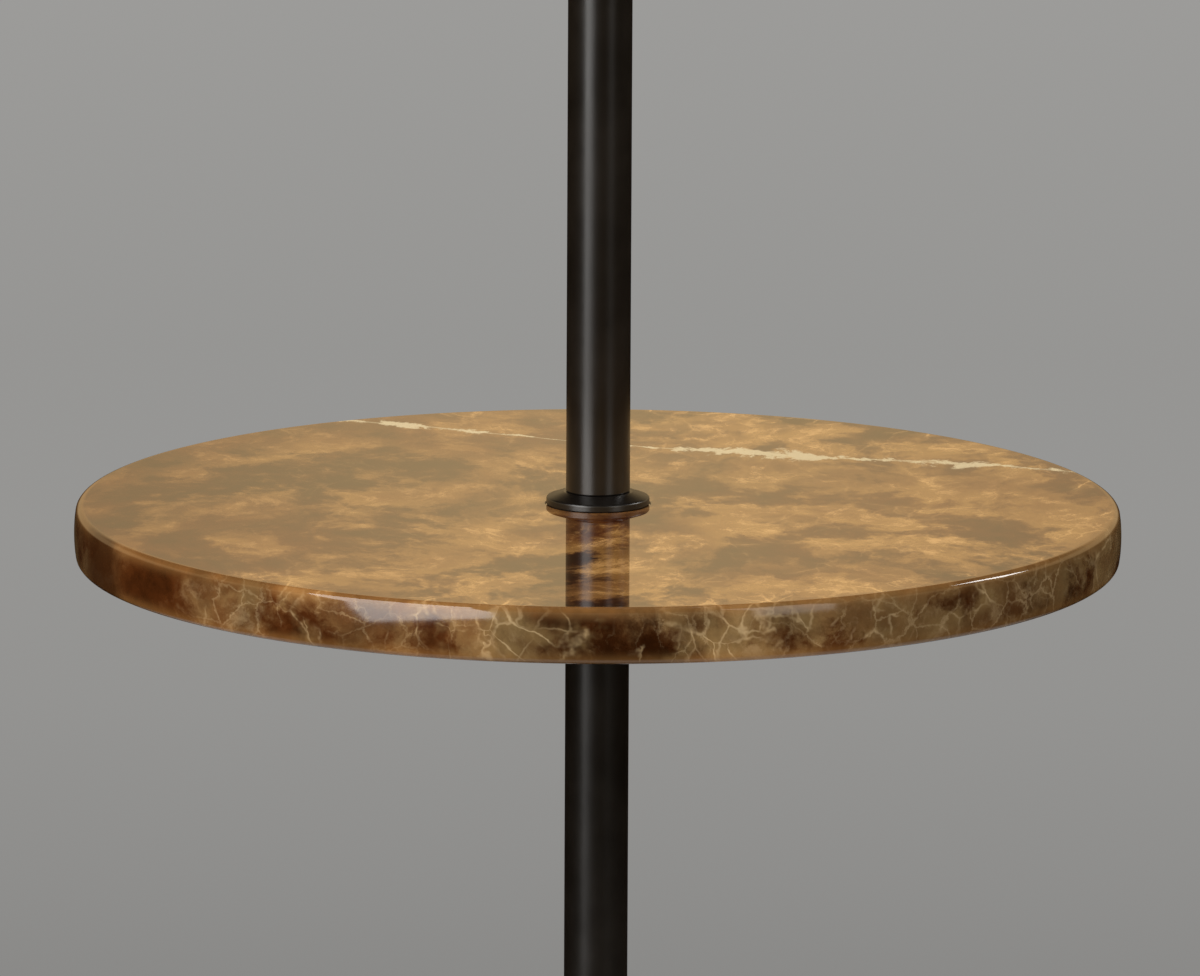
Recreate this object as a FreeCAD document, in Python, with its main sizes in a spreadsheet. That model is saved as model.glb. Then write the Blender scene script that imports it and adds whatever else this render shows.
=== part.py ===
# Floor lamp with a round stone table on its pole.
# Millimetres, +Z up, origin on the floor under the pole, the switch towards -Y, the mains cord towards +Y.

import FreeCAD, Part
import os
import re

import Sketcher

# Every size that can be set by itself.
SIZES = {
    # foot
    "pad_thickness": 2,
    "pad_diameter": 268,
    "cover_diameter": 280,
    "cover_height": 25,
    "cover_wall": 1.5,
    "cover_rim_lift": 1,          # the rim hangs this far above the floor
    "cover_shoulder": 5,
    "cover_crown": 3,             # rise from the shoulder to the middle
    "cover_land_diameter": 60,
    "weight_gap": 0.5,            # between the iron and the cover's wall
    "weight_thickness": 18,
    "weight_chamfer": 4,
    "weight_boss_diameter": 56,
    "weight_web": 4,              # iron left above the recess
    "recess_diameter": 44,
    "channel_width": 9,
    "channel_depth": 9,
    "cord_height": 9,
    "bushing_bore": 7.2,
    "bushing_neck_diameter": 11,
    "bushing_flange_diameter": 14,
    "bushing_flange_thickness": 1.8,
    "bushing_play": 0.2,          # between a flat flange and the curved wall
    "block_length": 27,
    "block_width": 15,
    "block_height": 12,
    "block_distance": 92,         # middle of the terminal block behind the pole
    "block_play": 1,
    "terminal_pitch": 9,
    "terminal_screw_diameter": 4,
    "terminal_screw_length": 6,
    "terminal_wire_diameter": 3,
    # threaded rods, washers and nut
    "nipple_diameter": 10,
    "nipple_bore": 8,
    "nipple_grip": 15,            # length held in a tube plug
    "nipple_proud": 0.5,          # past the lock nut
    "thread_fit": 0.05,
    "rod_clearance": 0.2,
    "washer_diameter": 22,
    "washer_thickness": 1.5,
    "nut_across_flats": 14,
    "nut_thickness": 3.5,
    # pole
    "tube_diameter": 22,
    "tube_wall": 1.2,
    "lower_tube_length": 542.2,
    "upper_tube_length": 620,
    "plug_length": 18,
    "plug_fit": 0.05,
    "collar_diameter": 35.5,
    "collar_rim": 2.4,
    "collar_height": 4.4,
    "collar_edge": 0.8,
    # table
    "table_diameter": 360,
    "table_thickness": 19,
    "table_edge": 3,
    "table_hole": 12,
    "seat_depth": 0.5,
    "seat_margin": 0.5,           # of the seat around the collar
    "plate_diameter": 120,
    "plate_thickness": 3,
    "lower_gasket_diameter": 112,
    "lower_gasket_thickness": 1,
    "upper_gasket_diameter": 33,
    # harp and its saddle
    "saddle_width": 14,
    "saddle_thickness": 1.5,
    "saddle_end": 4.5,            # of the strip past each peg
    "peg_height": 9,
    "harp_spread": 29,            # from the pole's axis to a leg
    "harp_half_width": 57.5,
    "harp_height": 208,
    "harp_gauge": 3.2,
    "harp_leg_bend_height": 40,
    "harp_side_foot": 100,
    "harp_side_head": 150,
    "harp_top_half_width": 14,
    "harp_lower_bend": 24,
    "harp_upper_bend": 30,
    "harp_top_bend": 12,
    "ferrule_length": 16,
    "ferrule_diameter": 5.6,
    "ferrule_play": 0.1,
    "stud_block_diameter": 9,
    "stud_block_half_height": 4,
    "stud_disc_diameter": 16,
    "stud_disc_thickness": 1.5,
    "stud_thread_diameter": 6.1,
    "stud_thread_length": 12,
    # lamp holder
    "head_washer_diameter": 18,
    "head_washer_thickness": 1,
    "socket_cap_diameter": 34,
    "socket_cap_height": 20,
    "socket_cap_land": 18,
    "socket_cap_dome": 8,
    "socket_wall": 0.8,
    "socket_hub_diameter": 14,
    "socket_hub_height": 6,
    "socket_play": 0.1,
    "socket_shell_height": 50,
    "socket_overlap": 8,          # of the shell inside the cap
    "liner_wall": 0.5,
    "socket_body_diameter": 29,
    "socket_body_height": 22,
    "socket_neck_diameter": 20,
    "socket_neck_height": 8,
    "socket_body_lift": 9,        # above the foot of the cap
    "screw_shell_diameter": 28,
    "screw_shell_wall": 0.4,
    "screw_shell_height": 28,
    "screw_shell_lip": 6,
    "contact_diameter": 8,
    "contact_height": 2,
    "terminal_head_diameter": 5,
    "terminal_head_thickness": 1.8,
    "terminal_drop": 4,           # below the shoulder of the socket body
    "stem_diameter": 3.6,
    "stem_inner_end": 6.5,        # from the pole's axis
    "stem_play": 0.3,
    "stem_hole_diameter": 7,
    "switch_height": 25,          # above the foot of the cap
    "knob_start": 19,             # from the pole's axis
    "knob_length": 13,
    "knob_diameter": 11,
    "knob_hub_length": 4,
    "knob_blade": 3.4,
    "knob_bore_depth": 6,
    # bulb
    "bulb_length": 110,
    "bulb_radius": 30,
    "bulb_neck_radius": 12.8,
    "bulb_wall": 1,
    "bulb_cap_diameter": 26,
    "bulb_cap_wall": 0.5,
    "bulb_cap_end": 27,           # from the tip to the top of the cap
    "bulb_insulator_foot": 1.2,
    "bulb_insulator_head": 5.5,
    "bulb_insulator_top_diameter": 24,
    "bulb_contact_diameter": 9,
    # shade
    "shade_bottom_diameter": 380,
    "shade_top_diameter": 330,
    "shade_height": 255,
    "shade_drop": 13,             # from the rings' level down to the spider's hub
    "fabric_thickness": 0.6,
    "liner_thickness": 0.8,
    "bond_gap": 0.1,
    "trim_height": 10,
    "trim_thickness": 0.5,
    "ring_gauge": 3,
    "ring_inset": 2.8,            # of a ring's middle from the shade's edge
    "ring_play": 0.3,
    "spider_hub_diameter": 22,
    "spider_hub_hole": 6.6,
    "spider_hub_thickness": 2,
    "spider_gauge": 3,
    "spider_flat": 45,            # the arms are level out to here
    "spider_bend": 30,
    "finial_height": 30,
    "finial_foot_diameter": 14,
    "finial_foot_thickness": 2.5,
    "finial_neck_diameter": 10,
    "finial_diameter": 18,
    # flex inside the pole
    "flex_diameter": 4.4,
    "flex_height": 5.2,           # above the floor, in the foot
    "flex_bend": 9.4,
}

SPIDER_ARMS = 3
TERMINAL_POLES = 3

# Places and sizes that follow from the ones above.
DERIVED = {
    "rod_hole": "nipple_diameter / 2 + rod_clearance",
    "rod_thread": "nipple_diameter / 2 + thread_fit",
    "tube_radius": "tube_diameter / 2",
    "tube_bore": "tube_radius - tube_wall",
    "cover_radius": "cover_diameter / 2",
    "cover_top": "cover_rim_lift + cover_height",
    "cover_inside": "cover_top - cover_wall",
    "weight_radius": "cover_radius - cover_wall - weight_gap",
    "recess_top": "cover_inside - weight_web",
    "base_washer_foot": "recess_top - washer_thickness",
    "base_nut_foot": "base_washer_foot - nut_thickness",
    "base_nipple_foot": "base_nut_foot - nipple_proud",
    "bushing_grip": "cover_wall + 2 * bushing_play",
    "lower_tube_foot": "cover_top + collar_height",
    "lower_tube_head": "lower_tube_foot + lower_tube_length",
    "plate_foot": "lower_tube_head + collar_height",
    "lower_gasket_foot": "plate_foot + plate_thickness",
    "table_foot": "lower_gasket_foot + lower_gasket_thickness",
    "table_level": "table_foot + table_thickness",
    "upper_tube_foot": "table_level + collar_height",
    "upper_tube_head": "upper_tube_foot + upper_tube_length",
    "saddle_foot": "upper_tube_head + collar_height",
    "saddle_top": "saddle_foot + saddle_thickness",
    "socket_foot": "saddle_top + head_washer_thickness",
    "socket_cap_inner": "socket_cap_diameter / 2 - socket_wall",
    "socket_shell_outer": "socket_cap_inner - socket_play",
    "socket_shell_inner": "socket_shell_outer - socket_wall",
    "socket_shell_foot": "socket_foot + socket_cap_height - socket_overlap",
    "liner_outer": "socket_shell_inner - socket_play",
    "liner_inner": "liner_outer - liner_wall",
    "socket_body_foot": "socket_foot + socket_body_lift",
    "socket_body_top": "socket_body_foot + socket_body_height",
    "switch_level": "socket_foot + switch_height",
    "bulb_foot": "socket_body_top + contact_height",
    "harp_wire": "harp_gauge / 2",
    "harp_top": "saddle_top + harp_height",
    "stud_disc_foot": "harp_top + stud_block_half_height",
    "spider_foot": "stud_disc_foot + stud_disc_thickness",
    "spider_middle": "spider_foot + spider_hub_thickness / 2",
    "finial_foot": "spider_foot + spider_hub_thickness",
    "shade_top": "spider_middle + shade_drop + ring_inset",
    "shade_foot": "shade_top - shade_height",
    "shade_lean": "(shade_bottom_diameter - shade_top_diameter) / 2 / shade_height",
    "shade_stretch": "sqrt(1 + shade_lean * shade_lean)",
    "liner_depth": "fabric_thickness + bond_gap",
    "frame_depth": "liner_depth + liner_thickness + ring_play + ring_gauge / 2 * shade_stretch",
    "top_ring_radius": "shade_top_diameter / 2 + shade_lean * ring_inset - frame_depth",
    "bottom_ring_radius": "shade_bottom_diameter / 2 - shade_lean * ring_inset - frame_depth",
    "block_front": "block_distance - block_width / 2",
}

ALIAS = re.compile(r"[a-z][a-z_]*")
UP = FreeCAD.Rotation()
OVER = FreeCAD.Rotation(FreeCAD.Vector(1, 0, 0), 180)       # turned upside down
FORWARD = FreeCAD.Rotation(FreeCAD.Vector(1, 0, 0), 90)     # +Z turned to -Y
BACKWARD = FreeCAD.Rotation(FreeCAD.Vector(1, 0, 0), -90)   # +Z turned to +Y
QUARTER = FreeCAD.Rotation(FreeCAD.Vector(0, 0, 1), 90)     # +X turned to +Y

doc = FreeCAD.newDocument("floor_lamp")
sheet = doc.addObject("Spreadsheet::Sheet", "sizes")
for row, (alias, number) in enumerate(SIZES.items(), 1):
    sheet.set(f"A{row}", alias)
    sheet.set(f"B{row}", str(number))
    sheet.setAlias(f"B{row}", alias)
doc.recompute()
parts = []


def expand(text):
    """An expression with every derived name written out in sheet aliases."""
    def written_out(match):
        word = match.group()
        return f"({expand(DERIVED[word])})" if word in DERIVED else word
    return ALIAS.sub(written_out, text)


def bound(text):
    """The same expression as an object outside the sheet writes it."""
    return ALIAS.sub(lambda match: f"sizes.{match.group()}" if match.group() in SIZES else match.group(),
                     expand(text))


def value(text):
    return float(sheet.evalExpression(expand(text)))


def place(part, name, x="0", y="0", z="0", rotation=UP):
    """The part's label, and its place bound to the sheet."""
    part.Label = name
    part.Placement = FreeCAD.Placement(FreeCAD.Vector(), rotation)
    for axis, text in zip("xyz", (x, y, z)):
        if text != "0":
            part.setExpression(f"Placement.Base.{axis}", bound(text))
    parts.append(part)
    return part


def new_body(name, x="0", y="0", z="0", rotation=UP):
    return place(doc.addObject("PartDesign::Body", name), name, x, y, z, rotation)


def origin_plane(body, role):
    return next(item for item in body.Origin.OriginFeatures if item.Role == role)


def new_sketch(body, name, plane, offset="0"):
    """A sketch on one of the body's own planes, or the offset along its normal from it."""
    sketch = body.newObject("Sketcher::SketchObject", name)
    sketch.AttachmentSupport = [(origin_plane(body, plane), "")]
    sketch.MapMode = "FlatFace"
    if offset != "0":
        sketch.setExpression("AttachmentOffset.Base.z", bound(offset))
    return sketch


def constrain(sketch, kind, geometry, point, text):
    """A distance from the sketch's origin, or a point on its axis where the distance is nothing."""
    if text == "0":
        axis = -2 if kind == "DistanceX" else -1
        sketch.addConstraint(Sketcher.Constraint("PointOnObject", geometry, point, axis))
    else:
        number = sketch.addConstraint(Sketcher.Constraint(kind, -1, 1, geometry, point, value(text)))
        sketch.setExpression(f"Constraints[{number}]", bound(text))


def constrain_radius(sketch, geometry, text):
    number = sketch.addConstraint(Sketcher.Constraint("Radius", geometry, value(text)))
    sketch.setExpression(f"Constraints[{number}]", bound(text))


def draw(body, name, plane, corners, closed=True):
    """Straight lines from corner to corner; a corner (x, y, radius) is rounded."""
    sketch = new_sketch(body, name, plane)
    spots = [FreeCAD.Vector(value(corner[0]), value(corner[1]), 0) for corner in corners]
    ends = spots[1:] + spots[:1] if closed else spots[1:]
    for start, end in zip(spots, ends):
        sketch.addGeometry(Part.LineSegment(start, end), False)
    count = len(ends)
    for line in range(count if closed else count - 1):
        sketch.addConstraint(Sketcher.Constraint("Coincident", line, 2, (line + 1) % count, 1))
    for number, corner in enumerate(corners):
        line, point = (number, 1) if number < count else (count - 1, 2)
        constrain(sketch, "DistanceX", line, point, corner[0])
        constrain(sketch, "DistanceY", line, point, corner[1])
    for number, corner in enumerate(corners):
        if len(corner) == 3:
            before, after = (number - 1) % count, number
            arc = sketch.GeometryCount
            sketch.fillet(before, after, spots[number - 1], spots[(number + 1) % len(spots)],
                          value(corner[2]), True, True)
            constrain_radius(sketch, arc, corner[2])
    return sketch


def draw_circles(body, name, plane, circles, offset="0"):
    """Circles, each (x, y, radius)."""
    sketch = new_sketch(body, name, plane, offset)
    for number, (x, y, radius) in enumerate(circles):
        centre = FreeCAD.Vector(value(x), value(y), 0)
        sketch.addGeometry(Part.Circle(centre, FreeCAD.Vector(0, 0, 1), value(radius)), False)
        constrain(sketch, "DistanceX", number, 3, x)
        constrain(sketch, "DistanceY", number, 3, y)
        constrain_radius(sketch, number, radius)
    return sketch


def spin(body, sketch, kind="PartDesign::Revolution"):
    """The sketch turned once round the vertical axis."""
    feature = body.newObject(kind, f"{sketch.Name}_turned")
    feature.Profile = sketch
    feature.ReferenceAxis = (sketch, ["V_Axis"])
    feature.Angle = 360
    return feature


def turned(name, corners, x="0", y="0", z="0", rotation=UP):
    """A piece made on a lathe, from its section on one side of the axis."""
    body = new_body(name, x, y, z, rotation)
    spin(body, draw(body, "section", "XZ_Plane", corners))
    return body


def ring_section(inner, outer, height):
    return [(inner, "0"), (outer, "0"), (outer, height), (inner, height)]


def pad(body, sketch, height):
    feature = body.newObject("PartDesign::Pad", f"{sketch.Name}_pad")
    feature.Profile = sketch
    feature.setExpression("Length", bound(height))
    return feature


def cut(body, sketch, depth, reverse=False):
    """A pocket against the sketch's normal, or along it when reversed, that has to remove something."""
    doc.recompute()
    before = body.Shape.Volume
    feature = body.newObject("PartDesign::Pocket", f"{sketch.Name}_cut")
    feature.Profile = sketch
    feature.Reversed = reverse
    feature.setExpression("Length", bound(depth))
    doc.recompute()
    if body.Shape.Volume >= before:
        raise RuntimeError(f"{body.Label}: {sketch.Name} cuts nothing")
    return feature


def sweep(body, section, path):
    """The section carried along every edge of the path."""
    doc.recompute()
    feature = body.newObject("PartDesign::AdditivePipe", f"{path.Name}_swept")
    feature.Profile = section
    feature.Spine = (path, [f"Edge{number + 1}" for number in range(len(path.Shape.Edges))])
    return feature


def repeat(body, feature, direction, pitch, count):
    """Copies of a feature in a row, a pitch apart."""
    row = body.newObject("PartDesign::LinearPattern", f"{feature.Name}_row")
    row.Originals = [feature]
    row.Direction = direction
    row.setExpression("Length", bound(f"({pitch}) * {count - 1}"))
    row.Occurrences = count
    body.Tip = row
    return row


def make_foot():
    turned("base_pad", ring_section("rod_hole", "pad_diameter / 2", "pad_thickness"))

    weight = turned("base_weight", [
        ("recess_diameter / 2", "0"),
        ("weight_radius", "0"),
        ("weight_radius", "weight_thickness - weight_chamfer"),
        ("weight_radius - weight_chamfer", "weight_thickness"),
        ("weight_boss_diameter / 2", "weight_thickness"),
        ("weight_boss_diameter / 2", "cover_inside - pad_thickness"),
        ("rod_hole", "cover_inside - pad_thickness"),
        ("rod_hole", "recess_top - pad_thickness"),
        ("recess_diameter / 2", "recess_top - pad_thickness"),
    ], z="pad_thickness")
    half_channel = "channel_width / 2"
    channel = draw(weight, "channel", "XY_Plane", [
        (f"-{half_channel}", "recess_diameter / 4"),
        (half_channel, "recess_diameter / 4"),
        (half_channel, "weight_radius + cover_wall"),
        (f"-{half_channel}", "weight_radius + cover_wall"),
    ])
    cut(weight, channel, "channel_depth", reverse=True)
    half_length = "(block_length / 2 + block_play)"
    half_width = "(block_width / 2 + block_play)"
    block_room = draw(weight, "block_room", "XY_Plane", [
        (f"-{half_length}", f"block_distance - {half_width}"),
        (half_length, f"block_distance - {half_width}"),
        (half_length, f"block_distance + {half_width}"),
        (f"-{half_length}", f"block_distance + {half_width}"),
    ])
    cut(weight, block_room, "block_height + block_play", reverse=True)
    half_room = "(bushing_flange_diameter / 2 + block_play)"
    bushing_room = draw(weight, "bushing_room", "XY_Plane", [
        (f"-{half_room}", "weight_radius - bushing_flange_thickness * 3"),
        (half_room, "weight_radius - bushing_flange_thickness * 3"),
        (half_room, "weight_radius + cover_wall"),
        (f"-{half_room}", "weight_radius + cover_wall"),
    ])
    cut(weight, bushing_room, f"cord_height - pad_thickness + {half_room}", reverse=True)

    shoulder = "cover_height - cover_crown"
    cover = turned("base_cover", [
        ("cover_radius - cover_wall", "0"),
        ("cover_radius", "0"),
        ("cover_radius", shoulder, "cover_shoulder"),
        ("cover_land_diameter / 2", "cover_height"),
        ("rod_hole", "cover_height"),
        ("rod_hole", "cover_height - cover_wall"),
        ("cover_land_diameter / 2", "cover_height - cover_wall"),
        ("cover_radius - cover_wall", f"{shoulder} - cover_wall", "cover_shoulder - cover_wall"),
    ], z="cover_rim_lift")
    inlet = draw_circles(cover, "inlet", "XZ_Plane",
                         [("0", "cord_height - cover_rim_lift", "bushing_neck_diameter / 2 + bushing_play")])
    cut(cover, inlet, "cover_radius + cover_wall")

    flange = "bushing_flange_thickness"
    turned("cord_bushing", [
        ("bushing_bore / 2", "0"),
        ("bushing_flange_diameter / 2", "0"),
        ("bushing_flange_diameter / 2", flange),
        ("bushing_neck_diameter / 2", flange),
        ("bushing_neck_diameter / 2", f"{flange} + bushing_grip"),
        ("bushing_flange_diameter / 2", f"{flange} + bushing_grip"),
        ("bushing_flange_diameter / 2 - 0.4 * bushing_flange_thickness", f"2 * {flange} + bushing_grip"),
        ("bushing_bore / 2", f"2 * {flange} + bushing_grip"),
    ], y=f"cover_radius - cover_wall - bushing_play - {flange}", z="cord_height", rotation=BACKWARD)

    block = new_body("terminal_block", y="block_distance", z="pad_thickness")
    pad(block, draw(block, "outline", "XY_Plane", [
        ("-block_length / 2", "-block_width / 2"),
        ("block_length / 2", "-block_width / 2"),
        ("block_length / 2", "block_width / 2"),
        ("-block_length / 2", "block_width / 2"),
    ]), "block_height")
    first_pole = f"-terminal_pitch * {TERMINAL_POLES - 1} / 2"
    screw_hole = draw_circles(block, "screw_hole", "XY_Plane",
                              [(first_pole, "0", "terminal_screw_diameter / 2 + thread_fit")])
    repeat(block, cut(block, screw_hole, "block_height", reverse=True), (screw_hole, ["H_Axis"]),
           "terminal_pitch", TERMINAL_POLES)
    wire_hole = draw_circles(block, "wire_hole", "XZ_Plane",
                             [(first_pole, "flex_height - pad_thickness", "terminal_wire_diameter / 2")])
    through = cut(block, wire_hole, "block_width")
    through.Midplane = True
    repeat(block, through, (wire_hole, ["H_Axis"]), "terminal_pitch", TERMINAL_POLES)

    screws = new_body("terminal_screws", y="block_distance",
                      z="pad_thickness + block_height - terminal_screw_length")
    shank = draw_circles(screws, "shank", "XY_Plane", [(first_pole, "0", "terminal_screw_diameter / 2")])
    repeat(screws, pad(screws, shank, "terminal_screw_length"), (shank, ["H_Axis"]),
           "terminal_pitch", TERMINAL_POLES)

    turned("base_washer", ring_section("rod_hole", "washer_diameter / 2", "washer_thickness"),
           z="base_washer_foot")
    hexagon = doc.addObject("Part::Prism", "base_nut_hexagon")
    hexagon.Polygon = 6
    hexagon.setExpression("Circumradius", bound("nut_across_flats / 2 / cos(30)"))
    hexagon.setExpression("Height", bound("nut_thickness"))
    bore = doc.addObject("Part::Cylinder", "base_nut_bore")
    bore.setExpression("Radius", bound("rod_thread"))
    bore.setExpression("Height", bound("nut_thickness"))
    nut = doc.addObject("Part::Cut", "base_nut")
    nut.Base = hexagon
    nut.Tool = bore
    place(nut, "base_nut", z="base_nut_foot")


def make_rod(name, foot, head):
    """A hollow threaded rod between two levels."""
    turned(name, ring_section("nipple_bore / 2", "nipple_diameter / 2", f"({head}) - ({foot})"), z=foot)


def make_collar(name, level, rotation=UP):
    turned(name, [
        ("rod_hole", "0"),
        ("collar_diameter / 2", "0"),
        ("collar_diameter / 2", "collar_rim", "collar_edge"),
        ("tube_radius", "collar_height"),
        ("rod_hole", "collar_height"),
    ], z=level, rotation=rotation)


def make_tube(name, foot, length):
    """A tube and the two threaded plugs pressed into its ends."""
    turned(name, ring_section("tube_bore", "tube_radius", length), z=foot)
    plugs = turned(f"{name}_plugs", ring_section("rod_thread", "tube_bore - plug_fit", "plug_length"), z=foot)
    first = plugs.Tip
    repeat(plugs, first, (first.Profile[0], ["V_Axis"]), f"{length} - plug_length", 2)


def make_pole_and_table():
    make_rod("base_nipple", "base_nipple_foot", "lower_tube_foot + nipple_grip")
    make_collar("base_collar", "cover_top")
    make_tube("lower_tube", "lower_tube_foot", "lower_tube_length")
    make_collar("under_collar", "plate_foot", OVER)
    turned("table_support_plate", ring_section("rod_hole", "plate_diameter / 2", "plate_thickness"),
           z="plate_foot")
    turned("lower_gasket",
           ring_section("table_hole / 2", "lower_gasket_diameter / 2", "lower_gasket_thickness"),
           z="lower_gasket_foot")
    seat = "(collar_diameter / 2 + seat_margin)"
    turned("table_top", [
        ("table_hole / 2", "0"),
        ("table_diameter / 2", "0", "table_edge"),
        ("table_diameter / 2", "table_thickness", "table_edge"),
        (seat, "table_thickness"),
        (seat, "table_thickness - seat_depth"),
        ("table_hole / 2", "table_thickness - seat_depth"),
    ], z="table_foot")
    turned("upper_gasket", ring_section("table_hole / 2", "upper_gasket_diameter / 2", "seat_depth"),
           z="table_level - seat_depth")
    make_rod("table_nipple", "lower_tube_head - nipple_grip", "upper_tube_foot + nipple_grip")
    make_collar("table_collar", "table_level")
    make_tube("upper_tube", "upper_tube_foot", "upper_tube_length")
    make_collar("head_collar", "saddle_foot", OVER)
    make_rod("head_nipple", "upper_tube_head - nipple_grip", "socket_foot + socket_hub_height")


def make_harp():
    saddle = new_body("harp_saddle", z="saddle_foot")
    end = "(harp_spread + saddle_end)"
    pad(saddle, draw(saddle, "strip", "XY_Plane", [
        (f"-{end}", "-saddle_width / 2", "saddle_end"),
        (end, "-saddle_width / 2", "saddle_end"),
        (end, "saddle_width / 2", "saddle_end"),
        (f"-{end}", "saddle_width / 2", "saddle_end"),
    ]), "saddle_thickness")
    cut(saddle, draw_circles(saddle, "rod_hole", "XY_Plane", [("0", "0", "rod_hole")]),
        "saddle_thickness", reverse=True)
    pad(saddle, draw_circles(saddle, "pegs", "XY_Plane",
                             [("-harp_spread", "0", "harp_wire"), ("harp_spread", "0", "harp_wire")]),
        "saddle_thickness + peg_height")

    harp = new_body("harp", z="saddle_top + peg_height")
    side = [
        ("harp_spread", "0"),
        ("harp_spread", "harp_leg_bend_height - peg_height", "harp_lower_bend"),
        ("harp_half_width", "harp_side_foot - peg_height", "harp_upper_bend"),
        ("harp_half_width", "harp_side_head - peg_height", "harp_upper_bend"),
        ("harp_top_half_width", "harp_height - peg_height", "harp_top_bend"),
    ]
    other_side = [(f"-{corner[0]}", *corner[1:]) for corner in reversed(side)]
    path = draw(harp, "bow", "XZ_Plane", side + other_side, closed=False)
    section = draw_circles(harp, "wire", "XY_Plane", [("harp_spread", "0", "harp_wire")])
    sweep(harp, section, path)

    for name, x in (("harp_ferrule_left", "-harp_spread"), ("harp_ferrule_right", "harp_spread")):
        turned(name, ring_section("harp_wire + ferrule_play", "ferrule_diameter / 2", "ferrule_length"),
               x=x, z="saddle_top")

    height = "2 * stud_block_half_height"
    stud = turned("harp_stud", [
        ("0", "0"),
        ("stud_block_diameter / 2", "0"),
        ("stud_block_diameter / 2", height),
        ("stud_disc_diameter / 2", height),
        ("stud_disc_diameter / 2", f"{height} + stud_disc_thickness"),
        ("stud_thread_diameter / 2", f"{height} + stud_disc_thickness"),
        ("stud_thread_diameter / 2", f"{height} + stud_disc_thickness + stud_thread_length"),
        ("0", f"{height} + stud_disc_thickness + stud_thread_length"),
    ], z="harp_top - stud_block_half_height")
    wire_hole = draw_circles(stud, "wire_hole", "YZ_Plane",
                             [("0", "stud_block_half_height", "harp_wire + thread_fit")])
    through = cut(stud, wire_hole, "stud_disc_diameter")
    through.Midplane = True


def make_lamp_holder():
    turned("head_washer", ring_section("rod_hole", "head_washer_diameter / 2", "head_washer_thickness"),
           z="saddle_top")
    outer = "socket_cap_diameter / 2"
    turned("socket_cap", [
        ("rod_thread", "0"),
        ("socket_cap_land / 2", "0"),
        (outer, "socket_cap_dome", "socket_cap_dome"),
        (outer, "socket_cap_height"),
        ("socket_cap_inner", "socket_cap_height"),
        ("socket_cap_inner", "socket_cap_dome + socket_wall / 2", "socket_cap_dome - socket_wall"),
        ("socket_cap_land / 2 - socket_wall / 2", "socket_wall"),
        ("socket_hub_diameter / 2", "socket_wall"),
        ("socket_hub_diameter / 2", "socket_hub_height"),
        ("rod_thread", "socket_hub_height"),
    ], z="socket_foot")

    opening = ("0", "switch_level - socket_shell_foot", "stem_hole_diameter / 2")
    for name, inner, wall_outer in (("socket_shell", "socket_shell_inner", "socket_shell_outer"),
                                    ("socket_liner", "liner_inner", "liner_outer")):
        sleeve = turned(name, ring_section(inner, wall_outer, "socket_shell_height"), z="socket_shell_foot")
        cut(sleeve, draw_circles(sleeve, "stem_opening", "XZ_Plane", [opening]), outer, reverse=True)

    holder = turned("socket_body", [
        ("0", "0"),
        ("socket_neck_diameter / 2", "0"),
        ("socket_neck_diameter / 2", "socket_neck_height"),
        ("socket_body_diameter / 2", "socket_neck_height"),
        ("socket_body_diameter / 2", "socket_body_height"),
        ("0", "socket_body_height"),
    ], z="socket_body_foot")
    stem_hole = draw_circles(holder, "stem_hole", "XZ_Plane",
                             [("0", "switch_level - socket_body_foot", "stem_diameter / 2 + stem_play")],
                             offset="stem_inner_end - stem_play")
    cut(holder, stem_hole, "socket_body_diameter", reverse=True)

    turned("socket_screw_shell", [
        ("screw_shell_diameter / 2 - screw_shell_lip", "0"),
        ("screw_shell_diameter / 2", "0"),
        ("screw_shell_diameter / 2", "screw_shell_height"),
        ("screw_shell_diameter / 2 - screw_shell_wall", "screw_shell_height"),
        ("screw_shell_diameter / 2 - screw_shell_wall", "screw_shell_wall"),
        ("screw_shell_diameter / 2 - screw_shell_lip", "screw_shell_wall"),
    ], z="socket_body_top")
    turned("socket_contact", ring_section("0", "contact_diameter / 2", "contact_height"), z="socket_body_top")

    screws = new_body("socket_terminals", z="socket_body_foot + socket_neck_height - terminal_drop")
    head = draw_circles(screws, "head", "YZ_Plane", [("0", "0", "terminal_head_diameter / 2")],
                        offset="socket_neck_diameter / 2")
    first = pad(screws, head, "terminal_head_thickness")
    doc.recompute()
    pair = screws.newObject("PartDesign::Mirrored", "second_head")
    pair.Originals = [first]
    pair.MirrorPlane = (origin_plane(screws, "YZ_Plane"), [""])
    screws.Tip = pair

    knob_bore_end = "(knob_start + knob_bore_depth)"
    turned("switch_stem", ring_section("0", "stem_diameter / 2", f"{knob_bore_end} - stem_inner_end"),
           y="-stem_inner_end", z="switch_level", rotation=FORWARD)
    knob = turned("switch_knob", [
        ("stem_diameter / 2 + thread_fit", "0"),
        ("knob_diameter / 2", "0"),
        ("knob_diameter / 2", "knob_length", "knob_blade / 2"),
        ("0", "knob_length"),
        ("0", "knob_bore_depth"),
        ("stem_diameter / 2 + thread_fit", "knob_bore_depth"),
    ], y="-knob_start", z="switch_level", rotation=FORWARD)
    for number, sign in enumerate(("", "-")):
        flat = draw(knob, f"flat_{'ab'[number]}", "YZ_Plane", [
            (f"{sign}knob_blade / 2", "knob_hub_length"),
            (f"{sign}knob_diameter", "knob_hub_length"),
            (f"{sign}knob_diameter", "2 * knob_length"),
            (f"{sign}knob_blade / 2", "2 * knob_length"),
        ])
        side_cut = cut(knob, flat, "knob_diameter * 2")
        side_cut.Midplane = True


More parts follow.
